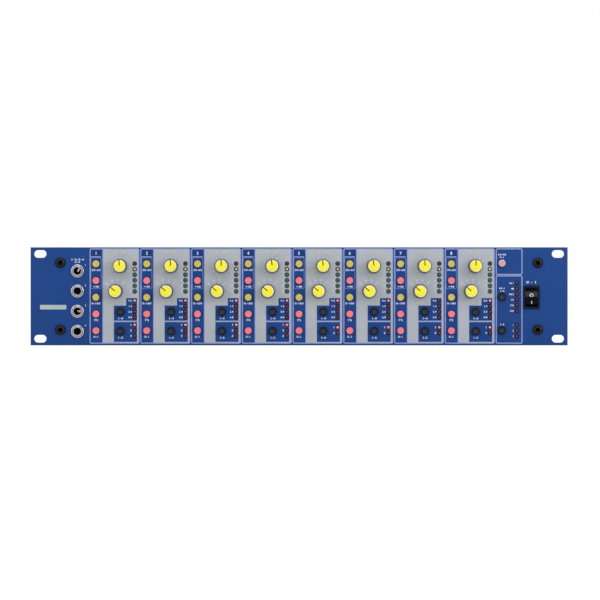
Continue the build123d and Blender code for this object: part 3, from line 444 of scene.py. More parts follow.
# The amber LEDs' pale centre is the die with a painted highlight.
led_amber_die_and_highlight = finish_of("led_amber_die_and_highlight", srgb(188, 192, 150), 0.05, 900, 0.12)
led_green = finish_of("led_green", srgb(34, 84, 78), 0.1, 900, 0.12)
led_green_low = finish_of("led_green_low", srgb(10, 84, 62), 0.1, 900, 0.12)
board_green = finish_of("board_green", srgb(24, 84, 50), 0.12, 90, 0.45, relief=0.01, relief_grain=700)
can_steel = finish_of("can_steel", srgb(160, 162, 165), 0.05, 300, 0.36, stretch=(1, 8, 1), metallic=1.0)
copper_winding = finish_of("copper_winding", srgb(196, 160, 60), 0.12, 120, 0.4, relief=0.1,
                           relief_grain=500, stretch=(1, 1, 6))
wire_grey = finish_of("wire_grey", srgb(110, 110, 116), 0.08, 200, 0.5)
shell_steel = finish_of("shell_steel", srgb(186, 184, 176), 0.05, 500, 0.28, metallic=1.0)


def wear(piece, *materials):
    """Give a piece these finishes, in order of slot."""
    piece.data.materials.clear()
    for material in materials:
        piece.data.materials.append(material)
    return piece


def finish_faces(piece, slot, wanted):
    """Put the wanted faces in one of the piece's slots."""
    for face in piece.data.polygons:
        if wanted(face.center / MM, face.normal):
            face.material_index = slot
    return piece


def stand(piece, body, slot, *nodes):
    """A finished piece rides on a body and stands for CAD nodes, which it hides. Its slot is not used."""
    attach(piece, body)
    if nodes:
        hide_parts(*nodes)
    return piece


def radius_of(point):
    return math.hypot(point.x, point.z)


# ------------------------------------------------------------------ printing on the panel
# Thicknesses of the ground and of the ink on it, and half that of a letter.
GROUND = 0.03
INK = 0.05
LETTER_HALF = 0.6 * INK
# A channel's printing: X is from the channel's lit buttons and Z from the panel's middle.
LINE = 0.9
THIN_LINE = 0.5
BLOCK_X, BLOCK_Z = (-5.8, 38.9), (-42.5, 43.1)
BLOCK_CORNER = 1.5
INSIDE_Z = (BLOCK_Z[0] + LINE, BLOCK_Z[1] - LINE)
FIELD_X, FIELD_Z = (6.3, 38.4), (BLOCK_Z[0] + 0.6, BLOCK_Z[1] - 0.6)
UPPER_BLUE_X, UPPER_BLUE_Z = (27.1, 36.8), (-8.3, -1.6)
LOWER_BLUE_X = (16.0, 36.8)
IMPEDANCE_Z = (-21.9, -8.3)
INPUT_Z = (-41.0, -23.1)
EDGE_X = (5.7, 6.6)
SPLIT_X, SPLIT_Z = (LOWER_BLUE_X[0], BLOCK_X[1] - LINE), (-22.9, -22.1)
RULE_X, RULE_Z = (-4.7, 4.5), (35.1, 35.9)
GROUP_X, GROUP_Z = (-4.9, 4.8), (6.6, 34.9)
NUMBER_X, NUMBER_Z = (-4.5, 4.2), (36.3, 41.3)
# The clock section's two boxes: X is from the converter button.
SECTION_X = (-5.6, 18.4)
SECTION_LOWER_Z, SECTION_UPPER_Z = (BLOCK_Z[0], 18.8), (19.2, BLOCK_Z[1])
# The plain bar: X is from the panel's left edge.
BAR_X, BAR_Z = (8.5, 32.1), (-11.8, -7.7)


def printed(name, x, z, corner=0.0):
    """A printed patch, in X from the first channel's buttons and in Z."""
    return thicken(sheet(name, [COLUMN + side for side in x], z, corner), INK)


def outline(name, x, z, corner, width):
    """A printed line of this width round such a patch."""
    rim = hollow(sheet(name, [COLUMN + side for side in x], z, corner), width)
    return thicken(rim, INK)


def along_channels(piece, name):
    """The first channel's piece on all of them."""
    return repeated(name, piece, [(shift, 0) for shift in CHANNEL_SHIFTS])


def print_grey_fields():
    """The grey ground of each channel, cut away round its blue selector blocks."""
    piece = sheet("grey_field", [COLUMN + side for side in FIELD_X], FIELD_Z)
    for x in (LOWER_BLUE_X[0], UPPER_BLUE_X[0], UPPER_BLUE_X[1]):
        score(piece, "X", COLUMN + x)
    for z in (UPPER_BLUE_Z[1], UPPER_BLUE_Z[0], IMPEDANCE_Z[0], INPUT_Z[1], INPUT_Z[0]):
        score(piece, "Z", z)

    def in_blue(face):
        x, z = face.center.x / MM - COLUMN, face.center.z / MM
        upper = UPPER_BLUE_X[0] < x < UPPER_BLUE_X[1] and UPPER_BLUE_Z[0] < z < UPPER_BLUE_Z[1]
        lower = LOWER_BLUE_X[0] < x < LOWER_BLUE_X[1]
        return upper or (lower and (IMPEDANCE_Z[0] < z < IMPEDANCE_Z[1] or INPUT_Z[0] < z < INPUT_Z[1]))

    pick(piece, "FACE", in_blue)
    bpy.ops.mesh.delete(type="FACE")
    bpy.ops.mesh.select_all(action="SELECT")
    bpy.ops.mesh.dissolve_limited()
    leave()
    fields = along_channels(thicken(piece, GROUND), "print_grey_fields")
    stand(wear(fields, ink_grey), "unit", "panel_blue")


def print_outlines():
    """The pale lines of the channels and the clock section, and the dark box of each number."""
    block = outline("block", BLOCK_X, BLOCK_Z, BLOCK_CORNER, LINE)
    edge = printed("edge", EDGE_X, INSIDE_Z)
    split = printed("split", SPLIT_X, SPLIT_Z)
    rule = printed("rule", RULE_X, RULE_Z, 0.3)
    strips = along_channels(joined("strip", [block, edge, split, rule]), "print_outlines")
    right = middle("converter_button").x - COLUMN
    section_x = [right + side for side in SECTION_X]
    upper = outline("upper", section_x, SECTION_UPPER_Z, BLOCK_CORNER, LINE)
    lower = outline("lower", section_x, SECTION_LOWER_Z, BLOCK_CORNER, LINE)
    piece = joined("print_outlines", [strips, upper, lower])
    stand(wear(piece, ink_pale), "unit", "panel_blue")
    group = outline("group", GROUP_X, GROUP_Z, 1.3, THIN_LINE)
    stand(wear(along_channels(group, "print_groups"), ink_thin), "unit", "panel_blue")
    box = printed("number_box", NUMBER_X, NUMBER_Z, 0.8)
    stand(wear(along_channels(box, "print_number_boxes"), ink_dark), "unit", "panel_blue")


HEIGHT_IN_SIZE = 0.7
BOLDNESS = 0.03


def lettered(text, x, z, height, align="CENTER", widen=1.0):
    """Figures or signs as a thin mesh, from the place of their foot."""
    deselect()
    bpy.ops.object.text_add(location=(x * MM, (FACE - LETTER_HALF) * MM, z * MM), rotation=UPRIGHT)
    piece = bpy.context.object
    letters = piece.data
    letters.body = text
    letters.size = height / HEIGHT_IN_SIZE * MM
    letters.align_x = align
    letters.extrude = LETTER_HALF * MM
    letters.offset = height * BOLDNESS * MM
    letters.resolution_u = 2
    piece.scale = (widen, 1, 1)
    bpy.ops.object.convert(target="MESH")
    return settle(bpy.context.object)


def round_dial(values, at, radius, angles, height):
    """Figures set round a dial at angles clockwise from the top."""
    figures = []
    for value, angle in zip(values, angles):
        turn = math.radians(angle)
        x, z = at[0] + radius * math.sin(turn), at[1] + radius * math.cos(turn)
        figures.append(lettered(value, x, z - height / 2, height))
    return figures


def ticks(at, inner, outer, angles):
    """Short lines round a dial."""
    tick = thicken(sheet("tick", (-0.2, 0.2), (inner, outer)), INK)
    marks = [copied(tick, "mark", at[0], at[1], angle) for angle in angles]
    bpy.data.objects.remove(tick)
    return marks


def row_figures(signs, x, top, height, widen=1.0):
    """Figures beside a column of LEDs, from its top one down."""
    return [lettered(sign, x, top - LED_STEP * row - height / 2, height, "RIGHT", widen)
            for row, sign in enumerate(signs)]


TRIM_SWEEP = spread(-150, 150, 11)
TRIM_FIGURES = (-118, -62, 0, 62, 118)
GAIN_STOPS = spread(-48, 42, 4)
LED_STEP = 5
FIGURE_GAP = 2.4
LIT_LABEL_DROP, BLACK_LABEL_DROP = 6.3, 6.8


def print_signs():
    """White and yellow figures of a channel, copied along the panel."""
    trim, gain = pivot("trim_knob_1"), pivot("gain_knob_1")
    white = []
    for name, sign in zip(LIT_BUTTONS, ("30-60", "+48", "0-180", "75", "0-1")):
        foot = middle(f"{name}_button_1").z - LIT_LABEL_DROP
        white.append(lettered(sign, COLUMN, foot, 1.8, widen=1.35 if len(sign) > 2 else 1.6))
    for name, sign in zip(BLACK_BUTTONS, ("1-4", "1-3")):
        place = middle(f"{name}_button_1")
        white.append(lettered(sign, place.x, place.z - BLACK_LABEL_DROP, 1.7, widen=1.5))
    red = [place for place in tips("leds_red") if abs(place[0] - COLUMN) < PITCH]
    led_x = max(x for x, _ in red)
    figure_x = led_x - FIGURE_GAP
    impedance_top = middle("impedance_button_1").z + 10.1
    white += row_figures(("0.6", "1.4", "2.4", "6.8"), figure_x, impedance_top, 1.6, 1.2)
    meter_top = max(z for _, z in red)
    white += row_figures(("0", "-2", "-6", "-12", "-18", "-42"), figure_x, meter_top, 1.2)
    white += ticks(trim, 7.5, 8.7, TRIM_SWEEP)
    white += ticks(gain, 7.5, 8.9, GAIN_STOPS)
    white += round_dial(("30", "40", "50", "60"), gain, 10.4, GAIN_STOPS, 1.3)
    signs = along_channels(joined("signs", white), "print_signs")

    other = [lettered(str(n + 1), COLUMN + shift, 37.4, 2.7) for n, shift in enumerate(CHANNEL_SHIFTS)]
    input_z = middle("input_button_1").z
    for n, shift in enumerate(CHANNEL_SHIFTS):
        lit = [z for x, z in tips("leds_red_lit") if abs(x - led_x - shift) < 1 and z < input_z + 10]
        signs_of_inputs = "123" if n < JACKS else "12"
        other += row_figures(signs_of_inputs, figure_x + shift, lit[0], 1.6, 1.6)
    other += jack_signs() + section_signs()
    stand(wear(joined("print_signs", [signs] + other), ink_white), "unit", "panel_blue")

    yellow = [lettered("0 - 20", trim[0], trim[1] + 12.2, 1.8, widen=1.7)]
    yellow += round_dial(("0", "5", "10", "15", "20"), trim, 10.2, TRIM_FIGURES, 1.2)
    yellow += round_dial(("0", "10", "20", "30"), gain, 12.6, GAIN_STOPS, 1.2)
    yellow.append(lettered("+9", led_x, meter_top + 5.6, 1.3))
    yellow.append(lettered("0 - 60", gain[0], gain[1] - 10.8, 1.3, widen=1.5))
    signs = along_channels(joined("print_yellow_signs", yellow), "print_yellow_signs")
    stand(wear(signs, ink_yellow), "unit", "panel_blue")


def jack_places():
    """X and Z of the jacks, from the top one down."""
    low, high = corners("jack_hardware")
    radius = (high.x - low.x) / 2
    return [(low.x + radius, z) for z in spread(high.z - radius, low.z + radius, JACKS)]


def jack_signs():
    """Two rows over the jacks, and a number beside each."""
    x, top = jack_places()[0]
    signs = [lettered("1-2-3-4", x, top + 9.5, 1.6, widen=1.75)]
    signs.append(lettered("6.3", x, top + 7.4, 1.5, widen=1.9))
    return signs + [lettered(str(n + 1), x + 7.2, z + 4.4, 1.5) for n, (_, z) in enumerate(jack_places())]


def section_signs():
    """Figures of the clock section, and the sign over the mains switch."""
    signs = []
    for name, lines in (("converter", ("24-96", "0-1")), ("clock", ("44.1", "1-6")), ("sync", ("1-3",))):
        place = middle(f"{name}_button")
        for row, sign in enumerate(reversed(lines)):
            signs.append(lettered(sign, place.x, place.z + 4.6 + 2.4 * row, 1.5, widen=1.5))
    column = [place for place in tips("leds_red") if place[0] > middle("converter_button").x]
    for (x, z), sign in zip(sorted(column, key=lambda place: -place[1]),
                            ("44.1", "48", "88.2", "96", "176", "192", "1", "2", "3")):
        signs.append(lettered(sign, x - 2.6, z - 0.8, 1.5, "RIGHT", 1.2))
    low, high = corners("switch_bezel")
    return signs + [lettered("0 - 1", (low.x + high.x) / 2, high.z + 2.1, 1.9, widen=1.9)]


def print_bar():
    """The plain pale bar at the left."""
    bar = thicken(sheet("print_bar", [panel_low.x + side for side in BAR_X], BAR_Z, 0.9), INK)
    stand(wear(bar, ink_bar), "unit", "panel_blue")


# ------------------------------------------------------------------ knobs
def knob_template():
    """A fluted body with a bevelled cap, a dark line let into both and a shaft, about the Y axis."""
    low, high = corners("gain_knob_1")
    front, back = low.y, FACE - 0.8
    shoulder = front + 1.2
    body = turned("body", [(5.5, back), (6.5, back), (6.5, back - 1.2), (6.25, back - 2.2),
                           (6.0, shoulder + 0.7), (5.75, shoulder), (5.3, shoulder),
                           (5.3, shoulder + 0.8)], 72, flutes=24, flute_depth=0.2)
    cap = turned("cap", [(5.4, shoulder + 0.8), (5.4, front + 0.8), (5.2, front + 0.35), (4.5, front),
                         (2.5, front)], 72)
    half, depth = 0.45, 0.45
    cut(cap, brick("tool", (-half, half), (front - 1, front + depth), (0.4, 7)))
    cut(body, brick("tool", (-half, half), (front - 1, shoulder + 1.6), (5.0, 7)))
    wear(body, knob_black, pointer_dark)
    wear(cap, cap_yellow, cap_rim_painted_sheen, pointer_dark)
    # The cap's side and bevel take the paler finish, a painted sheen.
    finish_faces(cap, 1, lambda point, normal: abs(normal.y) < 0.95 or radius_of(point) > 4.6)

    def in_line(point):
        return abs(point.x) <= half + 0.01 and point.z > 0.3

    finish_faces(cap, 2, lambda point, _: in_line(point) and point.y > front + 0.01)
    finish_faces(body, 1, lambda point, _: in_line(point) and radius_of(point) < 6.2
                 and point.y < shoulder + 2)
    shaft = turned("shaft", [(3.0, high.y), (3.0, back + 0.2)], 32)
    return joined("knob", [body, cap, wear(shaft, zinc)])


TRIM_ANGLES = (-5, 0, -3, -8, -4, -9, -3, 0)
GAIN_ANGLE = -48


def make_knobs():
    template = knob_template()
    for n in range(CHANNELS):
        for node, angle in ((f"trim_knob_{n + 1}", TRIM_ANGLES[n]), (f"gain_knob_{n + 1}", GAIN_ANGLE)):
            x, z = pivot(node)
            stand(copied(template, f"{node}_turned", x, z, angle), node, "knob_black", node)
    bpy.data.objects.remove(template)


# ------------------------------------------------------------------ buttons
# Each step is an inset from the button's side and a depth from its front.
LIT_STEPS = ((0.0, 1.0), (0.06, 0.45), (0.35, 0.12), (0.8, 0.0), (1.2, 0.06), (2.2, 0.16))
BLACK_STEPS = ((0.0, 0.6), (0.12, 0.2), (0.5, 0.0), (0.85, 0.08), (1.2, 0.3), (1.9, 0.55), (2.7, 0.66))
STEM_LENGTH = 4.5
STEM_SIDES = (-1.5, 1.5)


def button_template(node, steps, rim_width, rim, face):
    """A round button drawn through its steps, with a square stem, about the Y axis."""
    low, high = corners(node)
    back = high.y - STEM_LENGTH
    radius = (high.x - low.x) / 2
    cap = turned("cap", [(radius, back)] + [(radius - inset, low.y + depth) for inset, depth in steps])
    wear(cap, rim, face)
    # The front face inside the rim takes the second finish; the lit buttons' rims and the black buttons' faces
    # are painted sheen.
    finish_faces(cap, 1, lambda point, normal: normal.y < -0.3 and radius_of(point) < radius - rim_width)
    stem = wear(soften(brick("stem", STEM_SIDES, (back, high.y), STEM_SIDES), 0.15), rim, face)
    return joined("button", [cap, stem])


def make_buttons():
    """Channel 1's buttons are pieces of their own; those of the other channels go in one piece a kind."""
    templates = {}
    # The lit buttons' rim finishes and the black buttons' face finish are painted sheen.
    for kind, rim, face in (("lens_yellow", lens_yellow_rim_sheen, lens_yellow),
                            ("lens_red", lens_red_rim_sheen, lens_red),
                            ("lens_pink", lens_pink_rim_sheen, lens_pink)):
        templates[kind] = button_template("range_button_1", LIT_STEPS, 1.0, rim, face)
    templates["button_black"] = button_template("clock_button", BLACK_STEPS, 1.2, button_black,
                                                button_black_sheen)
    kinds = {"range": "lens_yellow", "phase": "lens_yellow", "phantom": "lens_red", "filter": "lens_red",
             "insert": "lens_red", "impedance": "button_black", "input": "button_black"}
    for name, kind in kinds.items():
        place = middle(f"{name}_button_1")
        places = [(place.x + shift, place.z) for shift in CHANNEL_SHIFTS]
        for node, group in ((f"{name}_button_1", places[:1]),
                            (f"{name}_buttons_2_to_{CHANNELS}", places[1:])):
            template = copied(templates[kind], "button")
            stand(repeated(f"{node}_moulded", template, group), node, kind, node)
    for name, kind in (("converter", "lens_pink"), ("clock", "button_black"), ("sync", "button_black")):
        node = f"{name}_button"
        place = middle(node)
        stand(copied(templates[kind], f"{node}_moulded", place.x, place.z), node, kind, node)
    for template in templates.values():
        bpy.data.objects.remove(template)


# ------------------------------------------------------------------ LEDs
LED_RADIUS = 1.5
LED_DIE_AND_HIGHLIGHT_RADIUS = 0.95


def led_template(front, rim, die_and_highlight=None):
    """A domed LED in a thin black ring, about the Y axis. The ring is painted shade for the gap round the
    LED's hole, and the second finish at the centre stands for the die with a painted highlight.
    """
    dome_y = front + LED_RADIUS
    turns = [math.radians(angle) for angle in range(0, 90, 12)]
    dome = [(LED_RADIUS * math.cos(turn), dome_y - LED_RADIUS * math.sin(turn)) for turn in turns]
    lens = turned("lens", [(LED_RADIUS, 1.0)] + dome, 24)
    wear(lens, rim, die_and_highlight or rim)
    # The centre of the dome takes the die's finish with its painted highlight.
    finish_faces(lens, 1, lambda point, normal: normal.y < -0.3 and radius_of(point) < LED_DIE_AND_HIGHLIGHT_RADIUS)
    # The black ring is painted shade: it stands for the shadow in the gap round the LED.
    shade_ring = turned("shade_ring", [(LED_RADIUS, FACE + 0.3), (LED_RADIUS, FACE - 0.12), (2.05, FACE - 0.12),
                               (2.2, FACE), (1.58, FACE + 0.02), (1.58, FACE + 0.3),
                               (LED_RADIUS, FACE + 0.3)], 24, ring=True)
    return joined("led", [lens, wear(shade_ring, plastic_black)])


def make_leds():
    """The meters' top and bottom LEDs have shades of their own."""
    front = corners("leds_red")[0].y
    reds, greens = tips("leds_red"), tips("leds_green")
    meter_top = max(z for _, z in reds)
    meter_low = min(z for _, z in greens)
    top_reds = [place for place in reds if place[1] == meter_top]
    other_reds = [place for place in reds if place[1] != meter_top]
    low_greens = [place for place in greens if place[1] == meter_low]
    other_greens = [place for place in greens if place[1] != meter_low]
    # The fourth entry of each look is the finish of the die and painted highlight at the centre, if any.
    looks = (("leds_red_lit", "lit", led_red_lit, led_red_die_and_highlight, tips("leds_red_lit")),
             ("leds_red", "meter", led_maroon, None, top_reds),
             ("leds_red", "selector", led_red, None, other_reds),
             ("leds_amber", "meter", led_amber, led_amber_die_and_highlight, tips("leds_amber")),
             ("leds_green", "meter", led_green, None, other_greens),
             ("leds_green", "low", led_green_low, None, low_greens))
    for node, name, rim, die_and_highlight, places in looks:
        lamps = repeated(f"{node}_{name}_domed", led_template(front, rim, die_and_highlight), places)
        stand(lamps, "unit", node.replace("leds", "led"), node)


# ------------------------------------------------------------------ jacks and panel screws
def bent_strip(name, width, path):
    """A thin leaf of metal across X that follows (depth, height) points."""
    y, z = path[0]
    piece = sheet(name, (-width / 2, width / 2), (z - 0.15, z + 0.15), y=y)
    edit(piece)
    for next_y, next_z in path[1:]:
        draw_out(next_y - y, next_z - z)
        y, z = next_y, next_z
    bpy.ops.mesh.select_all(action="SELECT")
    bpy.ops.mesh.normals_make_consistent(inside=False)
    leave()
    return soften(piece, 0.05)


# Contact leaves through (depth, height) points: one bows past the bore's axis, one stays beside it.
CONTACT_PATHS = (((6.7, 3.0), (7.0, 1.1), (7.2, -0.4), (8.2, -0.7), (9.4, 0.4), (12.0, 2.4), (20.0, 3.0)),
                 ((6.4, 3.0), (7.6, 2.6), (8.8, 1.3), (9.4, 0.9), (10.0, 1.3), (12.0, 2.6), (20.0, 3.0)))
CONTACT_ANGLES = (25, 205, 85, 160)
LEAF_WIDTH = 1.7


def make_jacks():
    """Four jacks, each with a nut, a grooved bush, a washer and a contact leaf."""
    low, high = corners("jack_hardware")
    front = low.y
    nut = turned("nut", [(4.75, FACE), (4.75, FACE - 1.6), (5.0, FACE - 2.0), (5.35, FACE - 2.0),
                         (5.8, FACE - 1.75), (6.0, FACE - 1.3), (6.0, FACE), (4.75, FACE)], 64, ring=True)
    bush = turned("bush", [(3.25, high.y), (3.25, front + 0.35), (3.55, front), (4.1, front),
                           (4.45, front + 0.3), (4.3, front + 0.55), (4.45, front + 0.8),
                           (4.3, front + 1.05), (4.45, front + 1.3), (4.5, high.y), (3.25, high.y)],
                  64, ring=True)
    washer = turned("washer", [(4.55, 0.0), (6.0, 0.0), (6.0, 0.8), (4.55, 0.8), (4.55, 0.0)], 64,
                    ring=True)
    hardware = wear(joined("hardware", [nut, bush, washer]), nickel)
    places = jack_places()
    stand(repeated("jack_hardware_turned", hardware, places), "unit", "jack_nickel", "jack_hardware")
    leaves = []
    for n, ((x, z), angle) in enumerate(zip(places, CONTACT_ANGLES)):
        leaf = wear(bent_strip("leaf", LEAF_WIDTH, CONTACT_PATHS[n % 2]), nickel)
        leaves.append(copied(leaf, "leaf", x, z, angle))
        bpy.data.objects.remove(leaf)
    stand(joined("jack_contact_leaves", leaves), "unit", "jack_nickel")


SCREW_HEAD_RADIUS = 4.75
SCREW_SOCKET_FLATS = 3.0
SCREW_NUT_FLATS = 8.0


def make_panel_screws():
    """Four button-head screws with a six-sided socket, each with its nut behind the panel."""
    low, high = corners("panel_screws")
    radius = SCREW_HEAD_RADIUS
    front = low.y
    head = turned("head", [(radius, FACE), (radius, FACE - 0.5), (4.6, FACE - 1.15), (4.2, FACE - 1.8),
                           (3.55, FACE - 2.35), (2.8, front + 0.08), (2.1, front)], 48)
    cut(head, hexagon_bar("socket", SCREW_SOCKET_FLATS, (front - 0.5, front + 1.9), 0.15))
    soften(head, 0.06, 1, 50)
    shank = turned("shank", [(2.5, FACE - 0.1), (2.5, high.y)], 32)
    nut = soften(hexagon_bar("nut", SCREW_NUT_FLATS, (1.5, high.y)), 0.3)
    screw = wear(joined("screw", [head, shank, nut]), screw_black, screw_socket_shade)
    # The socket's walls and floor take the near-black finish: painted shade in the recess.
    finish_faces(screw, 1, lambda point, normal: radius_of(point) < 1.95 and point.y < FACE)
    places = [(x, z) for x in (low.x + radius, high.x - radius) for z in (low.z + radius, high.z - radius)]
    stand(repeated("panel_screws_turned", screw, places), "unit", "screw_black", "panel_screws")


# ------------------------------------------------------------------ mains switch
ROCKER_LEAN = 11.0
# Above this height over the axis, and below the axis, the rocker is painted in shade.
SHADE_RISE = 5.2
# From the rocker's axis, with the rocker level: where its two marks lie and how its halves slope.
RING_PLACE, STROKE_PLACE = (0, -3.32, 1.2), (0, -3.86, -5.4)
MARK_SLOPE = 7.2


def laid(piece, place, slope):
    """Tilt a flat mark and put it at its place."""
    tilt = Matrix.Rotation(math.radians(slope), 4, "X")
    piece.data.transform(Matrix.Translation(Vector(place) * MM) @ tilt)
    return piece


def make_mains_switch():
    """The bezel, the rocker with painted light on its upper middle band and painted shade on its lower half
    and top end, and its ring and stroke.
    """
    stand(wear(rounded_copy("switch_bezel", 0.25), bezel_black), "unit", "black_plastic", "switch_bezel")
    rocker = wear(rounded_copy("power_rocker", 0.3, 3), rocker_painted_light, rocker_painted_shade)
    axis_z = pivot("power_rocker")[1]
    shade_z = axis_z + SHADE_RISE
    score(rocker, "Z", shade_z)
    # Painted shade on the rocker's lower half and its top end; painted light on the band between.
    finish_faces(rocker, 1, lambda point, _: point.z < axis_z or point.z > shade_z)
    stand(rocker, "power_rocker", "black_plastic", "power_rocker")
    ring = turned("ring", [(1.05, 0.0), (1.7, 0.0), (1.7, -INK), (1.05, -INK), (1.05, 0.0)], 32, ring=True)
    stroke = brick("stroke", (-0.28, 0.28), (-INK, 0.0), (-1.4, 1.4))
    flat_marks = [laid(ring, RING_PLACE, MARK_SLOPE), laid(stroke, STROKE_PLACE, -MARK_SLOPE)]
    marks = wear(joined("rocker_marks", flat_marks), ink_white)
    axis = Vector(joint_of["power_rocker"]["pos_m"]) / MM
    stand(laid(marks, axis, -ROCKER_LEAN), "power_rocker", "black_plastic")


# ------------------------------------------------------------------ back of the unit
LINE_CONNECTORS = 3
CONNECTOR_HALF_HEIGHT = 6.25
INSERT_X, INSERT_Z = (-18.9, 18.9), (-3.6, 3.6)
INSERT_THICKNESS = 0.3
CONTACT_STEP = 2.77
CONTACT_ROWS = ((13, 1.42), (12, -1.42))


def line_inserts():
    """The black faces of the line connectors, narrower below, each with two rows of contacts."""
    low, high = corners("line_connectors")
    floor_y = high.y - 0.5
    plate = sheet("plate", INSERT_X, INSERT_Z, y=floor_y + INSERT_THICKNESS)
    pick(plate, "VERT", lambda vertex: vertex.co.z < 0)
    bpy.ops.transform.resize(value=(0.92, 1, 1), center_override=(0, 0, 0))
    bpy.ops.mesh.select_all(action="SELECT")
    bpy.ops.mesh.bevel(offset=1.4 * MM, segments=4, affect="VERTICES")
    leave()
    wear(thicken(plate, INSERT_THICKNESS), plastic_black, brass)
    contact = turned("contact", [(0.45, floor_y + 0.2), (0.45, floor_y + 0.4), (0.75, floor_y + 0.4),
                                 (0.75, floor_y + 0.2), (0.45, floor_y + 0.2)], 12, ring=True)
    places = [((n - (count - 1) / 2) * CONTACT_STEP, z) for count, z in CONTACT_ROWS for n in range(count)]
    insert = joined("insert", [plate, wear(repeated("contacts", contact, places), brass)])
    rows = spread(high.z - CONNECTOR_HALF_HEIGHT, low.z + CONNECTOR_HALF_HEIGHT, LINE_CONNECTORS)
    faces = repeated("line_connector_faces", insert, [((low.x + high.x) / 2, z) for z in rows])
    stand(faces, "unit", "connector_steel")


FLANGE_HALF = 13
SLEEVE_DEPTH = 9
SLEEVE_CIRCLE = 4.6
SLEEVE_ANGLES = (30, 150, 270)


def mic_contacts():
    """Brass sleeves in the contact holes of the microphone sockets."""
    low, high = corners("mic_sockets")
    mouth, end = high.y - 0.4, high.y - SLEEVE_DEPTH
    sleeve = turned("sleeve", [(0.85, end), (0.85, mouth), (1.27, mouth), (1.27, end), (0.85, end)], 20,
                    ring=True)
    centres = spread(low.x + FLANGE_HALF, high.x - FLANGE_HALF, CHANNELS)
    turns = [math.radians(angle) for angle in SLEEVE_ANGLES]
    places = [(x + SLEEVE_CIRCLE * math.cos(turn), SLEEVE_CIRCLE * math.sin(turn))
              for x in centres for turn in turns]
    stand(repeated("mic_contact_sleeves", wear(sleeve, brass), places), "unit", "socket_black")


def make_rear():
    """The connectors of the rear panel, and the mains inlet with bare blades and its fuse drawer."""
    for node in ("mic_sockets", "mic_cores"):
        stand(wear(rounded_copy(node, 0.25), plastic_black), "unit", "socket_black", node)
    mic_contacts()
    line_inserts()
    lines = wear(rounded_copy("line_connectors", 0.15), shell_steel)
    stand(lines, "unit", "connector_steel", "line_connectors")
    inlet = wear(rounded_copy("mains_inlet", 0.3), plastic_black, nickel)
    low, high = corners("mains_inlet")
    centre_x = (low.x + high.x) / 2
    finish_faces(inlet, 1, lambda point, _: abs(point.x - centre_x) < 9 and 0 < point.z < 11
                 and high.y - 16 < point.y < high.y - 1)
    stand(inlet, "unit", "black_plastic", "mains_inlet")
    drawer = wear(rounded_copy("fuse_drawer", 0.3), plastic_black)
    stand(drawer, "fuse_drawer", "black_plastic", "fuse_drawer")
    stand(wear(rounded_copy("option_plate", 0.3), powder_black), "unit", "case_black", "option_plate")


CAD_FINISHES = {
    powder_black: ("chassis_tray", "top_cover", "rear_panel"),
    board_green: ("control_board", "main_board", "power_board"),
    plastic_black: ("jack_sockets", "control_bodies"),
    can_steel: ("input_transformers",),
    copper_winding: ("mains_transformer",),
    wire_grey: ("wiring",),
}


def finish_cad_nodes():
    """Finishes for the nodes that keep their CAD shape.

    The panel has another one behind its front, and the case's screws another than its posts.
    """
    for material, names in CAD_FINISHES.items():
        for name in names:
            wear(frame["nodes"][name], material)
    panel = wear(frame["nodes"]["front_panel"], paint_blue, panel_edge)
    finish_faces(panel, 1, lambda _, normal: normal.y > -0.9)
    screws = wear(frame["nodes"]["case_fasteners"], zinc, screw_black)
    posts_low, posts_high = corners("line_connectors")

    def case_screw(point, _):
        outside = point.y > REAR or point.x < case_low.x or point.x > case_high.x
        at_post = posts_low.x < point.x < posts_high.x and posts_low.z < point.z < posts_high.z
        return outside and not at_post

    finish_faces(screws, 1, case_screw)


# ------------------------------------------------------------------ stage, lights and camera
def seen_rays(nodes, links):
    """1 for rays that show the surroundings: to the camera, in a reflection or through a lens."""
    path = nodes.new("ShaderNodeLightPath")
    rays = path.outputs["Is Camera Ray"]
    for kind in ("Is Glossy Ray", "Is Transmission Ray"):
        either = nodes.new("ShaderNodeMath")
        either.operation = "MAXIMUM"
        links.new(rays, either.inputs[0])
        links.new(path.outputs[kind], either.inputs[1])
        rays = either.outputs["Value"]
    return rays


FLOOR_SIZE = 12
FLOOR_GAP = 0.2
FLOOR_SHINE = 1.1
FLOOR_SHINE_SHARE = 0.85


def make_stage():
    """A pale floor that reads white to the camera and keeps the unit's shadow."""
    deselect()
    bpy.ops.mesh.primitive_plane_add(size=FLOOR_SIZE, location=(0, 2.0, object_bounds()[0].z - FLOOR_GAP * MM))
    floor = named(bpy.context.object, "floor")
    material = bpy.data.materials.new("floor_white")
    material.use_nodes = True
    nodes, links = material.node_tree.nodes, material.node_tree.links
    nodes.clear()
    out = nodes.new("ShaderNodeOutputMaterial")
    matte = nodes.new("ShaderNodeBsdfDiffuse")
    matte.inputs["Color"].default_value = (0.82, 0.82, 0.82, 1)
    shine = nodes.new("ShaderNodeEmission")
    shine.inputs["Strength"].default_value = FLOOR_SHINE
    blend = nodes.new("ShaderNodeMixShader")
    share = nodes.new("ShaderNodeMath")
    share.operation = "MULTIPLY"
    share.inputs[1].default_value = FLOOR_SHINE_SHARE
    links.new(seen_rays(nodes, links), share.inputs[0])
    links.new(share.outputs["Value"], blend.inputs["Fac"])
    links.new(matte.outputs["BSDF"], blend.inputs[1])
    links.new(shine.outputs["Emission"], blend.inputs[2])
    links.new(blend.outputs["Shader"], out.inputs["Surface"])
    floor.data.materials.append(material)


WORLD_LEVEL = 0.66


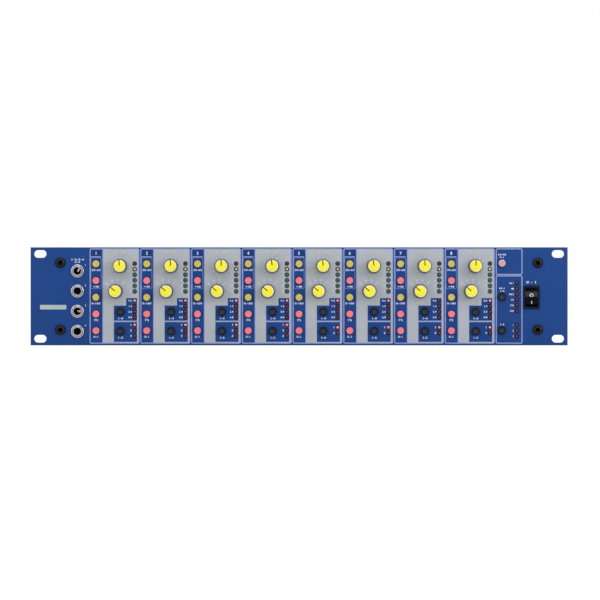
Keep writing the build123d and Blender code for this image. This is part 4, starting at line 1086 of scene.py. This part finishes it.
def make_world():
    """A soft room light that shows as plain white."""
    world = bpy.data.worlds.new("studio")
    bpy.context.scene.world = world
    world.use_nodes = True
    nodes, links = world.node_tree.nodes, world.node_tree.links
    nodes.clear()
    out = nodes.new("ShaderNodeOutputWorld")
    room = nodes.new("ShaderNodeBackground")
    room.inputs["Color"].default_value = (0.96, 0.98, 1.0, 1)
    room.inputs["Strength"].default_value = WORLD_LEVEL
    white = nodes.new("ShaderNodeBackground")
    white.inputs["Color"].default_value = (1, 1, 1, 1)
    white.inputs["Strength"].default_value = 1.0
    blend = nodes.new("ShaderNodeMixShader")
    links.new(seen_rays(nodes, links), blend.inputs["Fac"])
    links.new(room.outputs["Background"], blend.inputs[1])
    links.new(white.outputs["Background"], blend.inputs[2])
    links.new(blend.outputs["Shader"], out.inputs["Surface"])


LAMP_AIM = Vector((0, 0.05, 0))


def make_lamp(name, place, size, power):
    """A soft lamp of a width and height that points at the unit."""
    lamp = bpy.data.lights.new(name, "AREA")
    lamp.shape = "RECTANGLE"
    lamp.size, lamp.size_y = size
    lamp.energy = power
    holder = bpy.data.objects.new(name, lamp)
    bpy.context.scene.collection.objects.link(holder)
    holder.location = place
    holder.rotation_euler = (LAMP_AIM - Vector(place)).to_track_quat("-Z", "Y").to_euler()


def make_lights():
    make_lamp("left", (-1.25, -1.5, 0.55), (0.3, 0.9), 3.6)
    make_lamp("right", (1.0, -1.35, 0.45), (0.3, 0.9), 6.3)
    make_lamp("left_glint", (-1.0, -1.3, 0.75), (0.15, 0.3), 1.5)
    make_lamp("right_glint", (1.1, -1.3, 0.3), (0.15, 0.3), 1.5)
    make_lamp("front", (0.0, -2.4, 1.3), (1.2, 0.5), 6)
    make_lamp("top", (0.0, -0.2, 1.9), (1.2, 1.2), 8)
    make_lamp("back", (0.3, 1.9, 1.2), (1.2, 1.2), 14)


CAMERA_DISTANCE = 4.0
CAMERA_X, CAMERA_Z = 0.8, -3.3
LENS = 267.1


def make_camera():
    data = bpy.data.cameras.new("camera")
    data.sensor_width = 36
    data.lens = LENS
    data.clip_start, data.clip_end = 0.05, 30
    camera = bpy.data.objects.new("camera", data)
    bpy.context.scene.collection.objects.link(camera)
    camera.location = (CAMERA_X * MM, FACE * MM - CAMERA_DISTANCE, CAMERA_Z * MM)
    camera.rotation_euler = UPRIGHT
    bpy.context.scene.camera = camera


finish_cad_nodes()
print_grey_fields()
print_outlines()
print_signs()
print_bar()
make_knobs()
make_buttons()
make_leds()
make_jacks()
make_panel_screws()
make_mains_switch()
make_rear()
make_stage()
make_world()
make_lights()
make_camera()
bpy.context.scene.view_settings.view_transform = "Standard"
